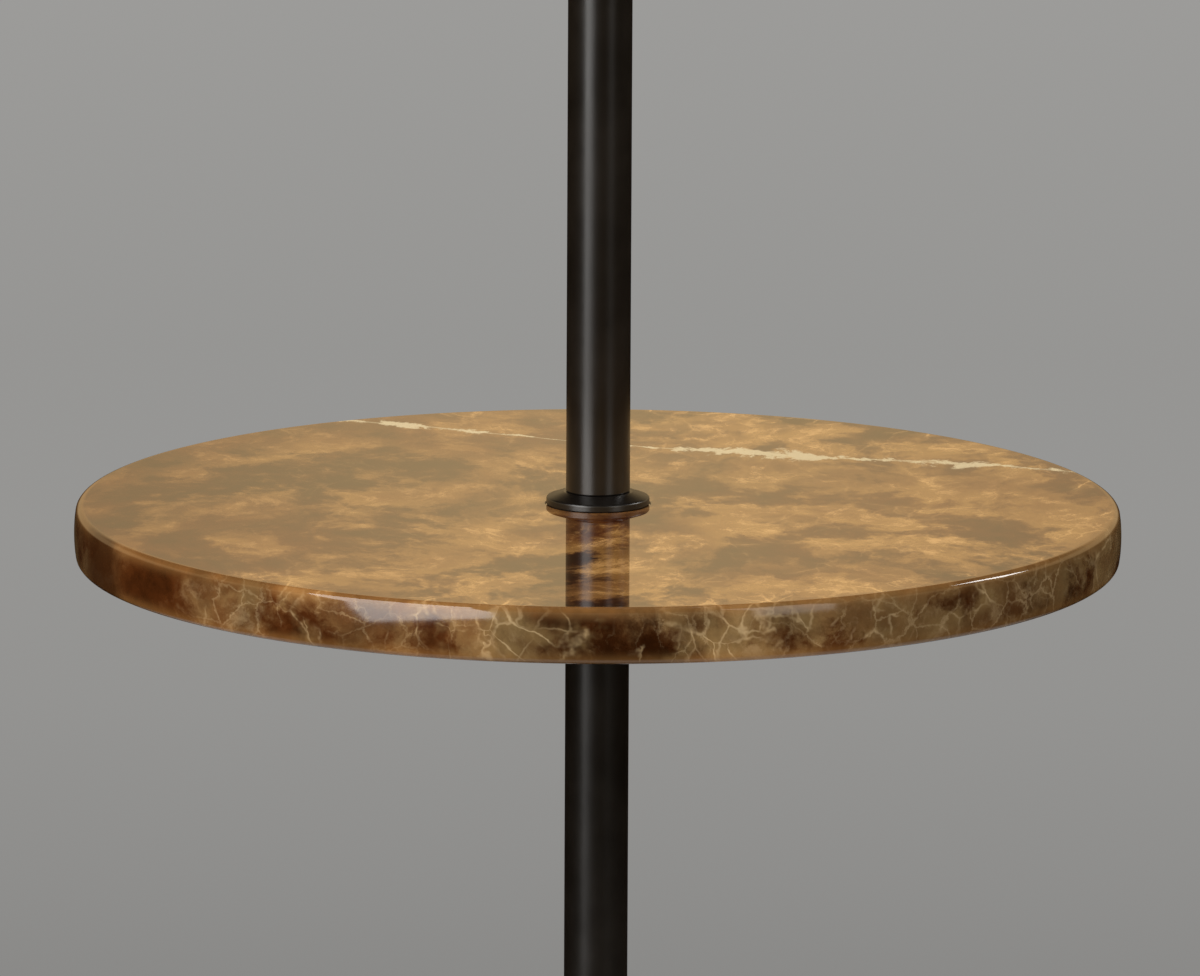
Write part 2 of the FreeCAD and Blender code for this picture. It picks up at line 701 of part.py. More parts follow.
def draw_globe(body, name, shrink):
    """Section of the bulb: a straight neck line that runs into an arc about the globe's middle."""
    sketch = new_sketch(body, name, "XZ_Plane")
    radius = f"(bulb_radius - {shrink})"
    neck = f"(bulb_neck_radius - {shrink})"
    middle = "(bulb_length - bulb_cap_end - bulb_radius)"
    centre = FreeCAD.Vector(0, value(middle), 0)
    upright = FreeCAD.Vector(0, 0, 1)
    quarter = 1.5708
    touch_angle = -0.4
    globe = Part.ArcOfCircle(Part.Circle(centre, upright, value(radius)), touch_angle, quarter)
    corner = FreeCAD.Vector(value(neck), 0, 0)
    lines = [
        Part.LineSegment(FreeCAD.Vector(), corner),
        Part.LineSegment(corner, globe.StartPoint),
        globe,
        Part.LineSegment(globe.EndPoint, FreeCAD.Vector()),
    ]
    for line in lines:
        sketch.addGeometry(line, False)
    sketch.addConstraint([
        Sketcher.Constraint("Coincident", 0, 1, -1, 1),
        Sketcher.Constraint("Horizontal", 0),
        Sketcher.Constraint("Coincident", 0, 2, 1, 1),
        Sketcher.Constraint("Tangent", 1, 2, 2, 1),
        Sketcher.Constraint("Coincident", 2, 2, 3, 1),
        Sketcher.Constraint("Coincident", 3, 2, 0, 1),
        Sketcher.Constraint("PointOnObject", 2, 2, -2),
        Sketcher.Constraint("PointOnObject", 2, 3, -2),
    ])
    constrain(sketch, "DistanceX", 0, 2, neck)
    constrain(sketch, "DistanceY", 2, 3, middle)
    constrain_radius(sketch, 2, radius)
    return sketch


def make_bulb():
    globe = new_body("bulb_globe", z="bulb_foot + bulb_cap_end")
    spin(globe, draw_globe(globe, "outside", "0"))
    spin(globe, draw_globe(globe, "inside", "bulb_wall"), "PartDesign::Groove")
    outer = "bulb_cap_diameter / 2"
    rise = "(bulb_cap_end - bulb_insulator_head)"
    turned("bulb_cap", [
        ("bulb_insulator_top_diameter / 2 - bulb_cap_wall", "0"),
        ("bulb_insulator_top_diameter / 2", "0"),
        (outer, "bulb_cap_diameter / 2 - bulb_insulator_top_diameter / 2"),
        (outer, rise),
        ("bulb_neck_radius - bulb_wall", rise),
        ("bulb_neck_radius - bulb_wall", f"{rise} - bulb_cap_wall"),
        (f"{outer} - bulb_cap_wall", f"{rise} - bulb_cap_wall"),
        (f"{outer} - bulb_cap_wall", "bulb_cap_diameter / 2 - bulb_insulator_top_diameter / 2"),
    ], z="bulb_foot + bulb_insulator_head")
    turned("bulb_insulator", [
        ("0", "0"),
        ("bulb_contact_diameter / 2", "0"),
        ("bulb_insulator_top_diameter / 2", "bulb_insulator_head - bulb_insulator_foot"),
        ("0", "bulb_insulator_head - bulb_insulator_foot"),
    ], z="bulb_foot + bulb_insulator_foot")
    turned("bulb_contact", ring_section("0", "bulb_contact_diameter / 2", "bulb_insulator_foot"), z="bulb_foot")


def shade_wall(name, depth, thickness, foot="0", head="shade_height"):
    """A leaning wall between two heights, its outside a depth inside the fabric's outside."""
    def outside(height):
        return f"(shade_bottom_diameter / 2 - shade_lean * ({height}) - ({depth}))"
    turned(name, [
        (f"{outside(foot)} - {thickness}", foot),
        (outside(foot), foot),
        (outside(head), head),
        (f"{outside(head)} - {thickness}", head),
    ], z="shade_foot")


def make_shade():
    shade_wall("shade_fabric", "0", "fabric_thickness")
    shade_wall("shade_liner", "liner_depth", "liner_thickness")
    proud = "-(bond_gap + trim_thickness)"
    shade_wall("shade_trim_bottom", proud, "trim_thickness", head="trim_height")
    shade_wall("shade_trim_top", proud, "trim_thickness", foot="shade_height - trim_height")

    ring = new_body("shade_bottom_ring", z="shade_foot + ring_inset")
    spin(ring, draw_circles(ring, "wire", "XZ_Plane", [("bottom_ring_radius", "0", "ring_gauge / 2")]))

    spider = new_body("shade_spider", z="spider_middle", rotation=QUARTER)
    half = "spider_hub_thickness / 2"
    spin(spider, draw(spider, "hub", "XZ_Plane", [
        ("spider_hub_hole / 2", f"-{half}"),
        ("spider_hub_diameter / 2", f"-{half}"),
        ("spider_hub_diameter / 2", half),
        ("spider_hub_hole / 2", half),
    ]))
    spin(spider, draw_circles(spider, "top_ring", "XZ_Plane",
                              [("top_ring_radius", "shade_drop", "ring_gauge / 2")]))
    arm_start = "(spider_hub_diameter / 2 - spider_gauge)"
    arm_path = draw(spider, "arm_path", "XZ_Plane", [
        (arm_start, "0"),
        ("spider_flat", "0", "spider_bend"),
        ("top_ring_radius", "shade_drop"),
    ], closed=False)
    arm_section = draw_circles(spider, "arm_section", "YZ_Plane", [("0", "0", "spider_gauge / 2")],
                               offset=arm_start)
    arm = sweep(spider, arm_section, arm_path)
    doc.recompute()
    arms = spider.newObject("PartDesign::PolarPattern", "arms")
    arms.Originals = [arm]
    arms.Axis = (arm_path, ["V_Axis"])
    arms.Angle = 360
    arms.Occurrences = SPIDER_ARMS
    spider.Tip = arms

    turned("finial", [
        ("stud_thread_diameter / 2 + thread_fit", "0"),
        ("finial_foot_diameter / 2", "0"),
        ("finial_foot_diameter / 2", "finial_foot_thickness", "finial_foot_thickness / 3"),
        ("finial_neck_diameter / 2", "finial_foot_thickness * 1.4"),
        ("finial_neck_diameter / 2", "finial_height / 4"),
        ("finial_diameter / 2", "finial_height * 0.42", "finial_height / 9"),
        ("finial_diameter / 2", "finial_height * 0.72", "finial_height / 6"),
        ("finial_diameter / 5", "finial_height", "finial_diameter / 12"),
        ("0", "finial_height"),
        ("0", "stud_thread_length"),
        ("stud_thread_diameter / 2 + thread_fit", "stud_thread_length"),
    ], z="finial_foot")


def make_inner_flex():
    """One flex from the terminal block to the lamp holder, with a single bend under the pole."""
    flex = new_body("inner_flex", y="block_front", z="flex_height")
    path = draw(flex, "route", "YZ_Plane", [
        ("0", "0"),
        ("-block_front", "0", "flex_bend"),
        ("-block_front", "socket_body_foot - flex_height"),
    ], closed=False)
    section = draw_circles(flex, "round", "XZ_Plane", [("0", "0", "flex_diameter / 2")])
    sweep(flex, section, path)
    doc.recompute()
    area = Part.Face(section.Shape.Wires[0]).Area
    print(f"inner flex: bend radius {value('flex_bend'):.1f}, length {path.Shape.Length:.1f}, "
          f"volume {flex.Shape.Volume:.1f} against {area * path.Shape.Length:.1f}")


make_foot()
make_pole_and_table()
make_harp()
make_lamp_holder()
make_bulb()
make_shade()
make_inner_flex()
doc.recompute()

for item in doc.Objects:
    if {"Invalid", "Error"} & set(item.State):
        raise RuntimeError(f"{item.Label} ({item.Name}) is in state {item.State}")
for part in parts:
    if part.Shape.isNull() or not part.Shape.isValid():
        raise RuntimeError(f"{part.Label} has no valid shape")

os.makedirs("parts", exist_ok=True)
for part in parts:
    part.Shape.exportStep(f"parts/{part.Label}.step")
print(f"{len(parts)} parts, overall height {max(part.Shape.BoundBox.ZMax for part in parts):.1f} mm")
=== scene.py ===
import math
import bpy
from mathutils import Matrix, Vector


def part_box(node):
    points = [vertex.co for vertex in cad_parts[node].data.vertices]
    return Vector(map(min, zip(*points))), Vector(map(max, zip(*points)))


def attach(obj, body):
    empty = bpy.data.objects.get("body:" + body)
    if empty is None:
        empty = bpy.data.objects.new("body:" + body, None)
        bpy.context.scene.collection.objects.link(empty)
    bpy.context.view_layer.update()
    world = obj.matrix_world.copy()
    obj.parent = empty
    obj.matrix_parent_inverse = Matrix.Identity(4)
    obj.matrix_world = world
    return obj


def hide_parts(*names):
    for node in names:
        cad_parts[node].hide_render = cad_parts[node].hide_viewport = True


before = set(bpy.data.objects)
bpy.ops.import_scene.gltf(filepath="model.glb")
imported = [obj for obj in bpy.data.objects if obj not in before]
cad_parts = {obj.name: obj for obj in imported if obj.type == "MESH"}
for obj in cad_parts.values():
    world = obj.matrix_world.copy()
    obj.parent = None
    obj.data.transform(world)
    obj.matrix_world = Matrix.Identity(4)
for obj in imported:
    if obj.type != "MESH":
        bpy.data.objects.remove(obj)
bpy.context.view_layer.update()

from types import SimpleNamespace

import bpy
import numpy as np
from mathutils import Euler, Matrix, Vector

scene = bpy.context.scene
scene.view_settings.view_transform = "Standard"
mm = 0.001
print("frame loaded")


# sizes read from the frame

def levels(name):
    low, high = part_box(name)
    return low.z, high.z


def radiusOf(name):
    low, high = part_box(name)
    return (high.x - low.x) / 2


# geometry helpers

def roundedProfile(corners, arcSteps=8, support=0.25 * mm):
    # each corner (r, z) or (r, z, radius): the radius becomes an arc of arcSteps chords between its tangent
    # points, which lie radius * tan(half the turn) from the corner; a support point stands outside each end;
    # an arc takes just under half of the shorter side at most, so that two arcs on one side never meet
    points = np.array([corner[:2] for corner in corners], float)
    rows = []
    for number, corner in enumerate(corners):
        here = points[number]
        if len(corner) < 3 or corner[2] <= 0:
            rows.append(here[None])
            continue
        back = points[number - 1] - here
        ahead = points[(number + 1) % len(points)] - here
        backLength, aheadLength = np.linalg.norm(back), np.linalg.norm(ahead)
        back, ahead = back / backLength, ahead / aheadLength
        turn = math.pi - math.acos(np.clip(back @ ahead, -1, 1))
        reach = min(corner[2] * math.tan(turn / 2), 0.49 * min(backLength, aheadLength))
        radius = reach / math.tan(turn / 2)
        centre = here + (back + ahead) / np.linalg.norm(back + ahead) * radius / math.cos(turn / 2)
        start, end = here + back * reach, here + ahead * reach
        u = (start - centre) / radius
        v = end - centre - u * ((end - centre) @ u)
        v = v / np.linalg.norm(v)
        angle = np.linspace(0, turn, arcSteps + 1)[:, None]
        arc = centre + radius * (u * np.cos(angle) + v * np.sin(angle))
        spare = min(support, 0.3 * (min(backLength, aheadLength) - reach))
        rows.append(np.vstack([start + back * spare, arc, end + ahead * spare]))
    return np.vstack(rows)


def gridSolid(name, points, closedRows=False, startPole=None, endPole=None, smoothAngle=32, uvSize=None):
    # quads between neighbouring rows and columns of a (rows, columns, 3) grid whose columns run round;
    # a pole point closes the first or last row with a fan, and the faces are turned outwards by the sign
    # of the volume that they enclose
    rows, columns = points.shape[:2]
    spans = rows if closedRows else rows - 1
    i, j = np.meshgrid(np.arange(spans), np.arange(columns), indexing="ij")
    corners = [(i, j), (i, j + 1), (i + 1, j + 1), (i + 1, j)]
    quads = np.stack([(a % rows) * columns + b % columns for a, b in corners], -1).reshape(-1, 4)
    uv = np.stack([np.stack([b / columns, a / max(spans, 1)], -1) for a, b in corners], -2).reshape(-1, 4, 2)
    vertices = points.reshape(-1, 3)
    fans = []
    around = np.arange(columns)
    for pole, first, order in ((startPole, 0, 1), (endPole, (rows - 1) * columns, -1)):
        if pole is not None:
            edge = np.stack([first + around, first + (around + 1) % columns], -1)[:, ::-order]
            fans.append(np.column_stack([np.full(columns, len(vertices)), edge]))
            vertices = np.vstack([vertices, np.asarray(pole, float)[None]])
    triangles = np.vstack(fans) if fans else np.zeros((0, 3), int)
    pieces = np.vstack([quads[:, [0, 1, 2]], quads[:, [0, 2, 3]], triangles])
    a, b, c = (vertices[pieces[:, k]] for k in range(3))
    if np.einsum("ij,ij->i", a, np.cross(b, c)).sum() < 0:
        quads, uv, triangles = quads[:, ::-1], uv[:, ::-1], triangles[:, ::-1]
    mesh = bpy.data.meshes.new(name)
    mesh.from_pydata(vertices.tolist(), [], quads.tolist() + triangles.tolist())
    if uvSize:
        layer = mesh.uv_layers.new(name="surface")
        flat = np.vstack([uv.reshape(-1, 2), np.zeros((triangles.size, 2))]) * np.array(uvSize)
        layer.data.foreach_set("uv", flat.ravel())
    mesh.polygons.foreach_set("use_smooth", np.ones(len(mesh.polygons), bool))
    mesh.set_sharp_from_angle(angle=math.radians(smoothAngle))
    piece = bpy.data.objects.new(name, mesh)
    scene.collection.objects.link(piece)
    return piece


def roundAngles(count):
    return np.arange(count) * 2 * math.pi / count


def turnGrid(profile, segments):
    # each profile point (r, z) turned round Z: x = r cos a, y = r sin a
    angle = roundAngles(segments)
    r, z = profile[:, :1], profile[:, 1:]
    return np.stack([r * np.cos(angle), r * np.sin(angle), z + 0 * angle], -1)


def ringSolid(name, profile, segments, **options):
    # a closed profile turned round Z
    return gridSolid(name, turnGrid(profile, segments), closedRows=True, **options)


def lathe(name, corners, segments, closed=True, arcSteps=8, **options):
    # a closed profile makes a ring; an open one that starts or ends on the axis is closed there by a pole
    profile = roundedProfile(corners, arcSteps)
    if closed:
        return ringSolid(name, profile, segments, **options)
    poles = {}
    if profile[0, 0] < 1e-9:
        poles["startPole"] = (0, 0, profile[0, 1])
        profile = profile[1:]
    if profile[-1, 0] < 1e-9:
        poles["endPole"] = (0, 0, profile[-1, 1])
        profile = profile[:-1]
    return gridSolid(name, turnGrid(profile, segments), **poles, **options)


def roundedRoute(corners, arcSteps=10):
    # the same rounding for a route of (x, z, radius) corners in the XZ plane, open at both ends
    inner = roundedProfile(corners, arcSteps, support=0)
    return np.column_stack([inner[:, 0], 0 * inner[:, 0], inner[:, 1]])


def wireSolid(name, route, radius, sides):
    # circles of the radius about each point of a route in the XZ plane, square to its direction there, from
    # one vector that lies in that plane and one across it
    step = np.gradient(route, axis=0)
    along = step / np.linalg.norm(step, axis=1)[:, None]
    level = np.cross(along, np.array([0.0, 1.0, 0.0]))
    level = level / np.linalg.norm(level, axis=1)[:, None]
    upright = np.cross(level, along)
    angle = roundAngles(sides)
    grid = route[:, None] + radius * (np.cos(angle)[None, :, None] * level[:, None]
                                      + np.sin(angle)[None, :, None] * upright[:, None])
    return gridSolid(name, grid, startPole=route[0], endPole=route[-1])


def cutter(radius, segments, length=20 * mm):
    # a plain cylinder that stands on the origin, longer than any wall it goes through
    return lathe("cutter", [(0, 0), (radius, 0), (radius, length), (0, length)], segments, closed=False)


def joined(name, *pieces):
    # several pieces as one mesh under a new name
    bpy.ops.object.select_all(action="DESELECT")
    for piece in pieces:
        piece.select_set(True)
    bpy.context.view_layer.objects.active = pieces[0]
    bpy.ops.object.join()
    pieces[0].name = name
    pieces[0].data.name = name
    return pieces[0]


def turned(piece, matrix):
    # turns or moves the mesh itself, so that the object stays at the origin
    piece.data.transform(matrix)
    piece.data.update()
    return piece


def laidDown(piece, place, towards):
    # an upright piece laid along Y, towards the back for 1 and the front for -1, with its foot at the place
    quarter = Euler((-towards * math.pi / 2, 0, 0)).to_matrix().to_4x4()
    return turned(piece, Matrix.Translation(place) @ quarter)


def cutOut(piece, tool):
    cut = piece.modifiers.new("cut", "BOOLEAN")
    cut.operation, cut.object, cut.solver = "DIFFERENCE", tool, "EXACT"
    bpy.context.view_layer.objects.active = piece
    bpy.ops.object.modifier_apply(modifier=cut.name)
    bpy.data.objects.remove(tool)


def finishPiece(piece, material, body, slotName, *nodes):
    piece.data.materials.clear()
    piece.data.materials.append(material)
    if nodes:
        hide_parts(*nodes)
    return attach(piece, body)


# material helpers

def newMaterial(name):
    material = bpy.data.materials.new(name)
    material.use_nodes = True
    tree = material.node_tree
    return material, tree, tree.nodes["Principled BSDF"]


def isSocket(source):
    return isinstance(source, bpy.types.NodeSocket)


def feed(made, inputs):
    # each input gets a link from a socket, or a plain value
    for key, source in inputs.items():
        if isSocket(source):
            made.id_data.links.new(source, made.inputs[key])
        else:
            made.inputs[key].default_value = source


def node(kind, inputs, tree=None, **settings):
    # a node in the tree, or else in the tree of the first socket that feeds it
    tree = tree or next(source.id_data for source in inputs.values() if isSocket(source))
    made = tree.nodes.new(f"ShaderNode{kind}")
    for key, setting in settings.items():
        setattr(made, key, setting)
    feed(made, inputs)
    return made


def mathNode(operation, a, b=0.0):
    return node("Math", {0: a, 1: b}, operation=operation).outputs[0]


def total(a, b):
    return mathNode("ADD", a, b)


def product(first, *others):
    for other in others:
        first = mathNode("MULTIPLY", first, other)
    return first


def gap(a, b):
    return mathNode("ABSOLUTE", mathNode("SUBTRACT", a, b))


def vectorNode(operation, a, b):
    return node("VectorMath", {0: a, 1: b}, operation=operation).outputs[0]


def smoothMap(source, low, high, toLow=0.0, toHigh=1.0):
    return node("MapRange", {"Value": source, "From Min": low, "From Max": high, "To Min": toLow,
                             "To Max": toHigh}, interpolation_type="SMOOTHSTEP").outputs[0]


def mixColour(factor, a, b, blend="MIX"):
    # 6, 7 and 2 are a Mix node's colour sockets
    made = node("Mix", {0: factor, 6: a, 7: b}, data_type="RGBA", blend_type=blend)
    return made.outputs[2]


def noise(vector, scale, detail=2.0, roughness=0.5, output=0):
    # output 0 is the grey level and 1 the colour
    return node("TexNoise", {"Vector": vector, "Scale": scale, "Detail": detail,
                             "Roughness": roughness}).outputs[output]


def objectCoordinates(tree, shift=(0, 0, 0), scale=(1, 1, 1)):
    coordinates = node("TexCoord", {}, tree).outputs["Object"]
    return node("Mapping", {"Vector": coordinates, "Location": shift, "Scale": scale}).outputs[0]


def addBump(shader, height, strength, distance):
    bump = node("Bump", {"Height": height, "Strength": strength, "Distance": distance})
    feed(shader, {"Normal": bump.outputs[0]})


# the stone

stone = {
    "darkest": (0.0330, 0.0100, 0.0024, 1),
    "dark": (0.0880, 0.0255, 0.0055, 1),
    "middle": (0.150, 0.051, 0.0125, 1),
    "gold": (0.409, 0.278, 0.117, 1),
    "cream": (0.770, 0.580, 0.320, 1),
    "seamColour": (0.72, 0.61, 0.38, 1),
    "edgeColour": (0.36, 0.160, 0.045, 1),
    "topTint": (1.05, 0.82, 0.62, 1),
    "topGamma": 1.22,  # the top is this much deeper and fuller than the side
    "sideWarmth": (1.0, 0.88, 0.78, 1),
    "sideTint": (0.52, 0.56, 0.60, 1),  # over the side's darker places
    "roughness": 0.025,
    "sideRoughness": 0.105,
    "ior": 1.54,
    "stretch": (1.10, 0.80, 1.15),
    "lift": -0.360,  # moves the pattern up or down through the slab
    # bends of the pattern: metres, then the noise's scale, detail and roughness
    "bigBend": (0.050, 9.0, 3.0, 0.5),
    "middleBend": (0.021, 24.0, 5.0, 0.60),
    "smallBend": (0.013, 45.0, 6.0, 0.70),
    # noises: scale, detail and roughness, and where two of them are moved to
    "clouds": (8.0, 8.0, 0.62),
    "smudges": (30.0, 7.0, 0.66),
    "crackedPlaces": (9.0, 4.0, 0.6),
    "crackedShift": (0.31, 0.12, 0.4),
    "crackedSwing": 0.30,  # how far this noise moves the edges of the cracked stone
    "patches": (19.0, 4.0, 0.6),
    "haze": (15.0, 6.0, 0.62),
    "flecks": (105.0, 6.0, 0.72),
    "veinStrength": (40.0, 4.0, 0.65),
    "veinWidth": (70.0, 2.0),
    "sideDepth": (16.0, 5.0, 0.6),
    "sideShift": (0.2, 0.5, 0.1),
    "seamDrift": (13.0, 5.0, 0.55),
    "seamFray": (75.0, 6.0, 0.7),
    "grain": (700.0, 4.0, 0.7),
    # cells of cracks: how many to a metre
    "wispCells": 25.0,
    "shardCells": 34.0,
    "splinterCells": 62.0,
    "crackleCells": 84.0,
    # where the noise behind a marking starts to show and where it shows in full
    "reads": {"dark": (0.37, 0.50), "middle": (0.45, 0.60), "mottle": (0.46, 0.64), "wisps": (0.40, 0.58),
              "haze": (0.36, 0.60), "flecks": (0.48, 0.64), "veins": (0.45, 0.64), "splinters": (0.0, 0.7),
              "crackle": (0.40, 0.58), "crackledPlaces": (0.60, 0.44), "patches": (0.40, 0.60),
              "fray": (0.35, 0.60), "seam": (-0.06, 0.34),
              # these two also say from what to what
              "veinWidth": (0.35, 0.65, 0.006, 0.040), "deepPlaces": (0.38, 0.58, 0.10, 1.0)},
    # widths of lines, beside the cells or beside the noise that draws them
    "widths": {"wisps": 0.20, "haze": 0.070, "halo": 0.26, "splinters": 0.045, "crackle": 0.045},
    # how much of each marking shows
    "shares": {"mottle": 0.70, "wisps": 0.95, "haze": 0.85, "flecks": 0.72, "halo": 0.62, "veins": 0.82,
               "splinters": 0.60, "crackle": 0.42, "rounding": 0.55, "darkPatch": 0.85, "seam": 0.84,
               "grain": 0.30},
    # places across the table, in metres from the pole: where a change starts and ends, and from what to what
    "crackedRight": (-0.100, 0.050, 0.45, 1.0),
    "crackedFront": (-0.080, -0.150, 0.0, 0.9),
    "calmLeft": (-0.145, -0.108, 0.12, 1.0),
    "deepLeft": (-0.090, -0.150, 0.0, 0.62),
    "deepRight": (0.050, 0.110, 0.0, 0.85),
    # the same for places near the rim, in millimetres in from it
    "veinsNearRim": (20.0, 3.0, 0.32, 1.0),
    "goldNearRim": (16.0, 1.0, 1.0, 0.45),
    "deepSide": (4.5, 1.5),
    "warmSide": (3.0, 0.5),
    "roundingIn": (3.6, 2.6),
    "roundingOut": (0.1, 0.8),
    "dullSide": (1.2, 0.1),
    # a dark patch on the side, this far to the left of the pole; its uneven edge, where it fades out and
    # where it is full, and the places across the table that keep it on the left
    "darkPatch": {"aside": 0.162, "uneven": 0.010, "fades": (0.0080, 0.0025), "left": (0.0, -0.1)},
    # the seam: y = start - slope x, steeper on the left by bend; it leans as it goes down, wobbles, and has a
    # thin line's half width; then its patches: x, half length, half width
    "seam": {"start": 0.111, "slope": 0.29, "bend": 0.17, "lean": 0.10, "wobble": 0.010, "line": 0.0015,
             "fray": 0.82},
    "seamPatches": [(-0.066, 0.036, 0.0060), (0.030, 0.012, 0.0050), (0.060, 0.021, 0.0165),
                    (0.120, 0.024, 0.0105), (0.160, 0.010, 0.0040)],
}


def bent(vector, place, amount, *grain):
    # the vector moved by a noise colour, which is centred on zero and scaled to an amount in metres
    colour = noise(place, *grain, output=1)
    offset = vectorNode("MULTIPLY", vectorNode("SUBTRACT", colour, (0.5,) * 3), (amount,) * 3)
    return vectorNode("ADD", vector, offset)


def ridge(vector, grain, width):
    # a crest line wherever a noise passes its middle value
    return smoothMap(gap(noise(vector, *grain), 0.5), width, 0.0)


def cellWalls(vector, scale, width):
    # a line on each wall between Voronoi cells, which fades to nothing at its width
    away = node("TexVoronoi", {"Vector": vector, "Scale": scale, "Randomness": 1.0},
                feature="DISTANCE_TO_EDGE").outputs[0]
    return smoothMap(away, width, 0.0)


def read(source, name):
    return smoothMap(source, *stone["reads"][name])


def nearRim(reach, start, end, toLow=0.0, toHigh=1.0):
    rim = radiusOf("table_top")
    return smoothMap(reach, rim - start * mm, rim - end * mm, toLow, toHigh)


def stoneFields(tree):
    # what all markings read: places, bent places, and the slow noises that say where each marking shows
    plain = objectCoordinates(tree)
    place = objectCoordinates(tree, shift=(0, 0, stone["lift"]), scale=stone["stretch"])
    folded = bent(place, place, *stone["bigBend"])
    shivered = bent(folded, place, *stone["smallBend"])
    kinked = bent(folded, place, *stone["middleBend"])
    x, y, z = node("SeparateXYZ", {0: plain}).outputs
    level = node("CombineXYZ", {0: x, 1: y}).outputs[0]
    reach = node("VectorMath", {0: level}, operation="LENGTH").outputs["Value"]
    smudges = noise(shivered, *stone["smudges"])

    # the cracked stone is in the right half, the front edge and the middle, and the left is calm
    where = noise(objectCoordinates(tree, shift=stone["crackedShift"]), *stone["crackedPlaces"])
    swing = product(mathNode("SUBTRACT", where, 0.5), stone["crackedSwing"])
    right = smoothMap(total(x, swing), *stone["crackedRight"])
    front = smoothMap(total(y, swing), *stone["crackedFront"])
    cracked = mathNode("MAXIMUM", right, front)
    patches = read(noise(folded, *stone["patches"]), "patches")
    depth = noise(objectCoordinates(tree, shift=stone["sideShift"]), *stone["sideDepth"])
    return SimpleNamespace(plain=plain, place=place, folded=folded, shivered=shivered, kinked=kinked,
                           x=x, y=y, z=z, reach=reach, smudges=smudges, where=where, cracked=cracked,
                           patches=patches, depth=depth)


def marked(base, colour, name, *masks):
    # one marking laid over the base where all its masks meet
    return mixColour(product(*masks, stone["shares"][name]), base, stone[colour])


def addClouds(at):
    # from dark brown to tan by the mean of two noises, which gives the clouds darker smudges
    clouds = noise(at.folded, *stone["clouds"])
    body = total(product(clouds, 0.50), product(at.smudges, 0.50))
    base = mixColour(read(body, "dark"), stone["darkest"], stone["dark"])
    return mixColour(read(body, "middle"), base, stone["middle"])


def addWisps(at, base):
    # soft golden wisps in several sizes, weaker towards the rim
    inside, widths = nearRim(at.reach, *stone["goldNearRim"]), stone["widths"]
    mottle = read(at.smudges, "mottle")
    base = marked(base, "gold", "mottle", mottle, at.cracked, inside)
    wisps = product(cellWalls(at.shivered, stone["wispCells"], widths["wisps"]),
                    read(at.smudges, "wisps"), at.patches)
    base = marked(base, "gold", "wisps", wisps, at.cracked, inside)
    haze = product(ridge(at.shivered, stone["haze"], widths["haze"]), read(at.smudges, "haze"))
    base = marked(base, "gold", "haze", haze, at.cracked, inside)
    flecks = read(noise(at.shivered, *stone["flecks"]), "flecks")
    return marked(base, "cream", "flecks", flecks, mottle, at.cracked, inside)


def addVeins(at, base):
    # thin pale veins of uneven width, each with a golden halo, then splinters and a finer crackle
    rim, widths = nearRim(at.reach, *stone["veinsNearRim"]), stone["widths"]
    calm = smoothMap(at.x, *stone["calmLeft"])
    strength = noise(at.place, *stone["veinStrength"])
    strength = product(read(strength, "veins"), calm)
    halo = product(cellWalls(at.kinked, stone["shardCells"], widths["halo"]), strength)
    base = marked(base, "gold", "halo", halo, at.cracked, rim)
    width = read(noise(at.place, *stone["veinWidth"]), "veinWidth")
    veins = product(cellWalls(at.kinked, stone["shardCells"], width), strength)
    base = marked(base, "cream", "veins", veins, at.cracked, rim)
    splinters = product(cellWalls(at.kinked, stone["splinterCells"], widths["splinters"]), at.patches,
                        read(strength, "splinters"))
    base = marked(base, "cream", "splinters", splinters, at.cracked, rim)
    crackle = product(cellWalls(at.shivered, stone["crackleCells"], widths["crackle"]),
                      read(at.where, "crackledPlaces"), read(at.smudges, "crackle"))
    return marked(base, "cream", "crackle", crackle, at.cracked, rim, calm)


def partTopAndSide(at, base):
    # the top is seen through its sheen, so its colour is deeper; the rounding between is a warm brown band
    deeper = node("Gamma", {0: base, 1: stone["topGamma"]}).outputs[0]
    deeper = mixColour(1.0, deeper, stone["topTint"], "MULTIPLY")
    warmer = mixColour(1.0, base, stone["sideWarmth"], "MULTIPLY")
    base = mixColour(nearRim(at.reach, *stone["warmSide"]), deeper, warmer)
    base = marked(base, "edgeColour", "rounding", nearRim(at.reach, *stone["roundingIn"]),
                  nearRim(at.reach, *stone["roundingOut"]))

    # the side is darker in some places, at its left and at its right
    side = nearRim(at.reach, *stone["deepSide"])
    deepest = mathNode("MAXIMUM", read(at.depth, "deepPlaces"), smoothMap(at.x, *stone["deepLeft"]))
    deepest = mathNode("MAXIMUM", deepest, smoothMap(at.x, *stone["deepRight"]))
    base = mixColour(product(deepest, side), base,
                     mixColour(1.0, base, stone["sideTint"], "MULTIPLY"))

    # one dark patch at the left, with an uneven edge
    patch = stone["darkPatch"]
    across = mathNode("ABSOLUTE", total(at.x, product(at.smudges, patch["uneven"])))
    across = smoothMap(gap(across, patch["aside"]), *patch["fades"])
    return marked(base, "darkest", "darkPatch", across, smoothMap(at.x, *patch["left"]), side)


